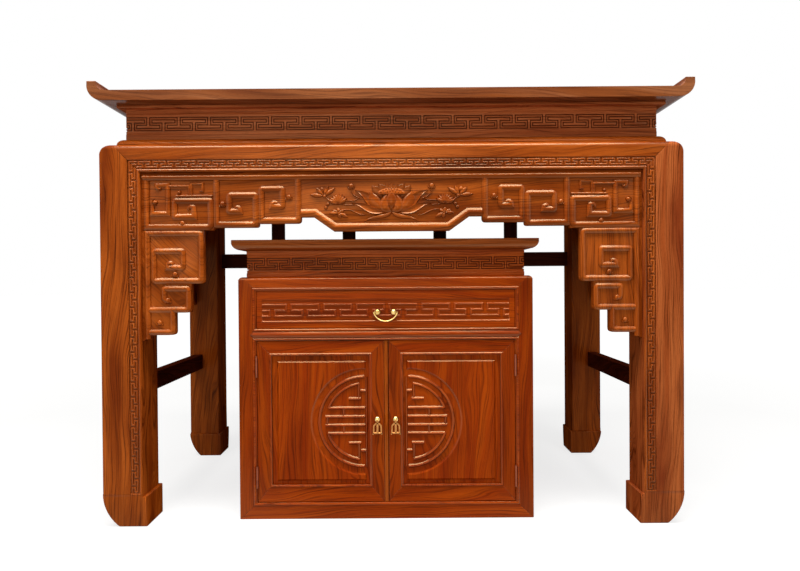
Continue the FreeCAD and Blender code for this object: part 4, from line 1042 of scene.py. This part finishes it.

# brass fittings: polished castings, pendants that have worn dull, and hinges in a darker, browner brass
bailPosts = {"front": -373, "reach": 7.6, "swell": 1.3}
brassCrease = 30
for nodeNames, metal in ((("drawer_bail", "drawer_bail_posts", "left_pull_rose", "right_pull_rose"), brass),
                         (("cabinet_hinge_leaves", "left_door_leaves", "right_door_leaves"), hingeBrass)):
    for node in nodeNames:
        bm = copyOf(node)
        if node == "drawer_bail_posts":
            # the balls are turned fuller
            for x in bailSeats["places"]:
                centre = Vector((x, bailPosts["front"], bailSeats["level"])) * mm
                ball = [v for v in bm.verts if (v.co - centre).length < bailPosts["reach"] * mm]
                bmesh.ops.scale(bm, vec=[bailPosts["swell"]] * 3, verts=ball,
                                space=Matrix.Translation(-centre))
        piece = writePiece(node + "_cast", bm, bodyOf[node], metal, brassCrease)
        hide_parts(node)

# pendants: an openwork frame with a middle bar and two small feet, hung on an eye
pendant = {
    "pins": {"left": -47.5, "right": 7.1}, "front": -373, "level": 298, "thick": 3, "eye": (3.4, 5.6),
    "ease": 0.6, "frame": ((-4.5, -9), (-10.8, -16), (-11.5, -38), (11.5, -38), (10.8, -16), (4.5, -9)),
    "frameWidth": 4.6, "bars": (  # ends, width: middle bar, neck and two feet
        (((0, -9), (0, -38)), 6.6), (((0, 0), (0, -10)), 5.6), (((-10.5, -38), (-14, -42)), 3.8),
        (((10.5, -38), (14, -42)), 3.8))}
eyeRadius, eyeLength = pendant["eye"]


def castBar(width):
    half = pendant["thick"] / 2
    return flatBar(width, half, pendant["ease"], half)


for side, x in pendant["pins"].items():
    bm = bmesh.new()
    sweep(bm, pendant["frame"], castBar(pendant["frameWidth"]), closed=True)
    for ends, width in pendant["bars"]:
        sweep(bm, ends, castBar(width))
    bmesh.ops.create_cone(bm, cap_ends=True, segments=32, radius1=eyeRadius, radius2=eyeRadius,
                          depth=eyeLength, matrix=Matrix.Rotation(math.radians(90), 4, "Y"))
    hung = onFront(pendant["front"]) @ Matrix.Translation((x, pendant["level"], 0))
    bmesh.ops.transform(bm, matrix=hung, verts=bm.verts)
    bmesh.ops.recalc_face_normals(bm, faces=bm.faces)
    node = side + "_pendant"
    piece = writePiece(node + "_cast", bm, bodyOf[node], wornBrass, brassCrease)
    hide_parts(node)
print("brass polished")

# camera, floor and light
camera = {"place": (24.4525, -2150.7944, 716.5895), "yaw": 0.0009, "pitch": -0.0087, "roll": -0.007,
          "focalPixels": 595.625, "photoPixels": 800, "sensor": 36}
yaw, pitch, roll = [camera[key] for key in ("yaw", "pitch", "roll")]
ahead = Vector((-math.sin(yaw), math.cos(yaw), 0))
across = Vector((math.cos(yaw), math.sin(yaw), 0))
forward = math.cos(pitch) * ahead + math.sin(pitch) * Vector((0, 0, 1))
above = -math.sin(pitch) * ahead + math.cos(pitch) * Vector((0, 0, 1))
cameraRight = math.cos(roll) * across + math.sin(roll) * above
cameraUp = -math.sin(roll) * across + math.cos(roll) * above
view = bpy.data.objects.new("camera", bpy.data.cameras.new("camera"))
view.data.sensor_width = camera["sensor"]
view.data.lens = camera["focalPixels"] * camera["sensor"] / camera["photoPixels"]
aim = Matrix((cameraRight, cameraUp, -forward)).transposed().to_4x4()
view.matrix_world = Matrix.Translation(Vector(camera["place"]) * mm) @ aim
bpy.context.scene.collection.objects.link(view)
bpy.context.scene.camera = view

# near and far: metres from the middle, and how brightly the paper shines there
studio = {"floorColour": "#9a9a98", "floorSize": 60, "floorDrop": 0.5 * mm, "near": (2.2, 0.76),
          "far": (5, 0.97), "room": "#f4f1ee", "roomStrength": 0.25}
floorMesh = bpy.data.meshes.new("floor")
bm = bmesh.new()
bmesh.ops.create_grid(bm, x_segments=1, y_segments=1, size=studio["floorSize"] / 2,
                      matrix=Matrix.Translation((0, 0, -studio["floorDrop"])))
bm.to_mesh(floorMesh)
bm.free()
paper = newMaterial("whitePaperSweep")
tree = paper.node_tree
matte = addNode(tree, "BsdfDiffuse", {"Color": linear(studio["floorColour"])})
# the paper shines white to the eye, less so by the table, where its shadow shows
onFloor = addNode(tree, "TexCoord").outputs["Object"]
away = addNode(tree, "VectorMath", None, {0: onFloor}, operation="LENGTH")
shining = [end for pair in zip(studio["near"], studio["far"]) for end in pair]
strength = addNode(tree, "MapRange", dict(zip(rangeSockets, shining)), {"Value": away.outputs["Value"]})
glow = addNode(tree, "Emission", {"Color": (1, 1, 1, 1)}, {"Strength": strength})
lit = addNode(tree, "AddShader", None, {0: matte, 1: glow})
both = addNode(tree, "MixShader", None, {0: seenDirectly(tree), 1: matte, 2: lit})
addNode(tree, "OutputMaterial", None, {"Surface": both})
floorMesh.materials.append(paper)
floor = bpy.data.objects.new("floor", floorMesh)
bpy.context.scene.collection.objects.link(floor)

world = bpy.data.worlds.new("studio")
world.use_nodes = True
bpy.context.scene.world = world
tree = world.node_tree
tree.nodes.clear()
room = addNode(tree, "Background", {"Color": linear(studio["room"]), "Strength": studio["roomStrength"]})
white = addNode(tree, "Background", {"Color": (1, 1, 1, 1), "Strength": 1.0})
shown = addNode(tree, "MixShader", None, {0: seenDirectly(tree), 1: room, 2: white})
addNode(tree, "OutputWorld", None, {"Surface": shown})

lamps = (  # name, place, target, size along and across, watts
    ("ceilingPanel", (-0.1, -1.2, 3.4), (-0.1, -1.1, 0.6), (3.4, 1.25), 180),
    ("fillPanel", (-0.6, -4.2, 1.5), (0, -0.2, 0.7), (2.4, 1.6), 48))
for name, stand, target, size, watts in lamps:
    lamp = bpy.data.objects.new(name, bpy.data.lights.new(name, "AREA"))
    lamp.data.shape = "RECTANGLE"
    lamp.data.size, lamp.data.size_y = size
    lamp.data.energy = watts
    lamp.location = stand
    lamp.rotation_mode = "QUATERNION"
    lamp.rotation_quaternion = (Vector(target) - Vector(stand)).to_track_quat("-Z", "Y")
    bpy.context.scene.collection.objects.link(lamp)
bpy.context.scene.view_settings.view_transform = "Standard"
print("camera, floor and lamps set")
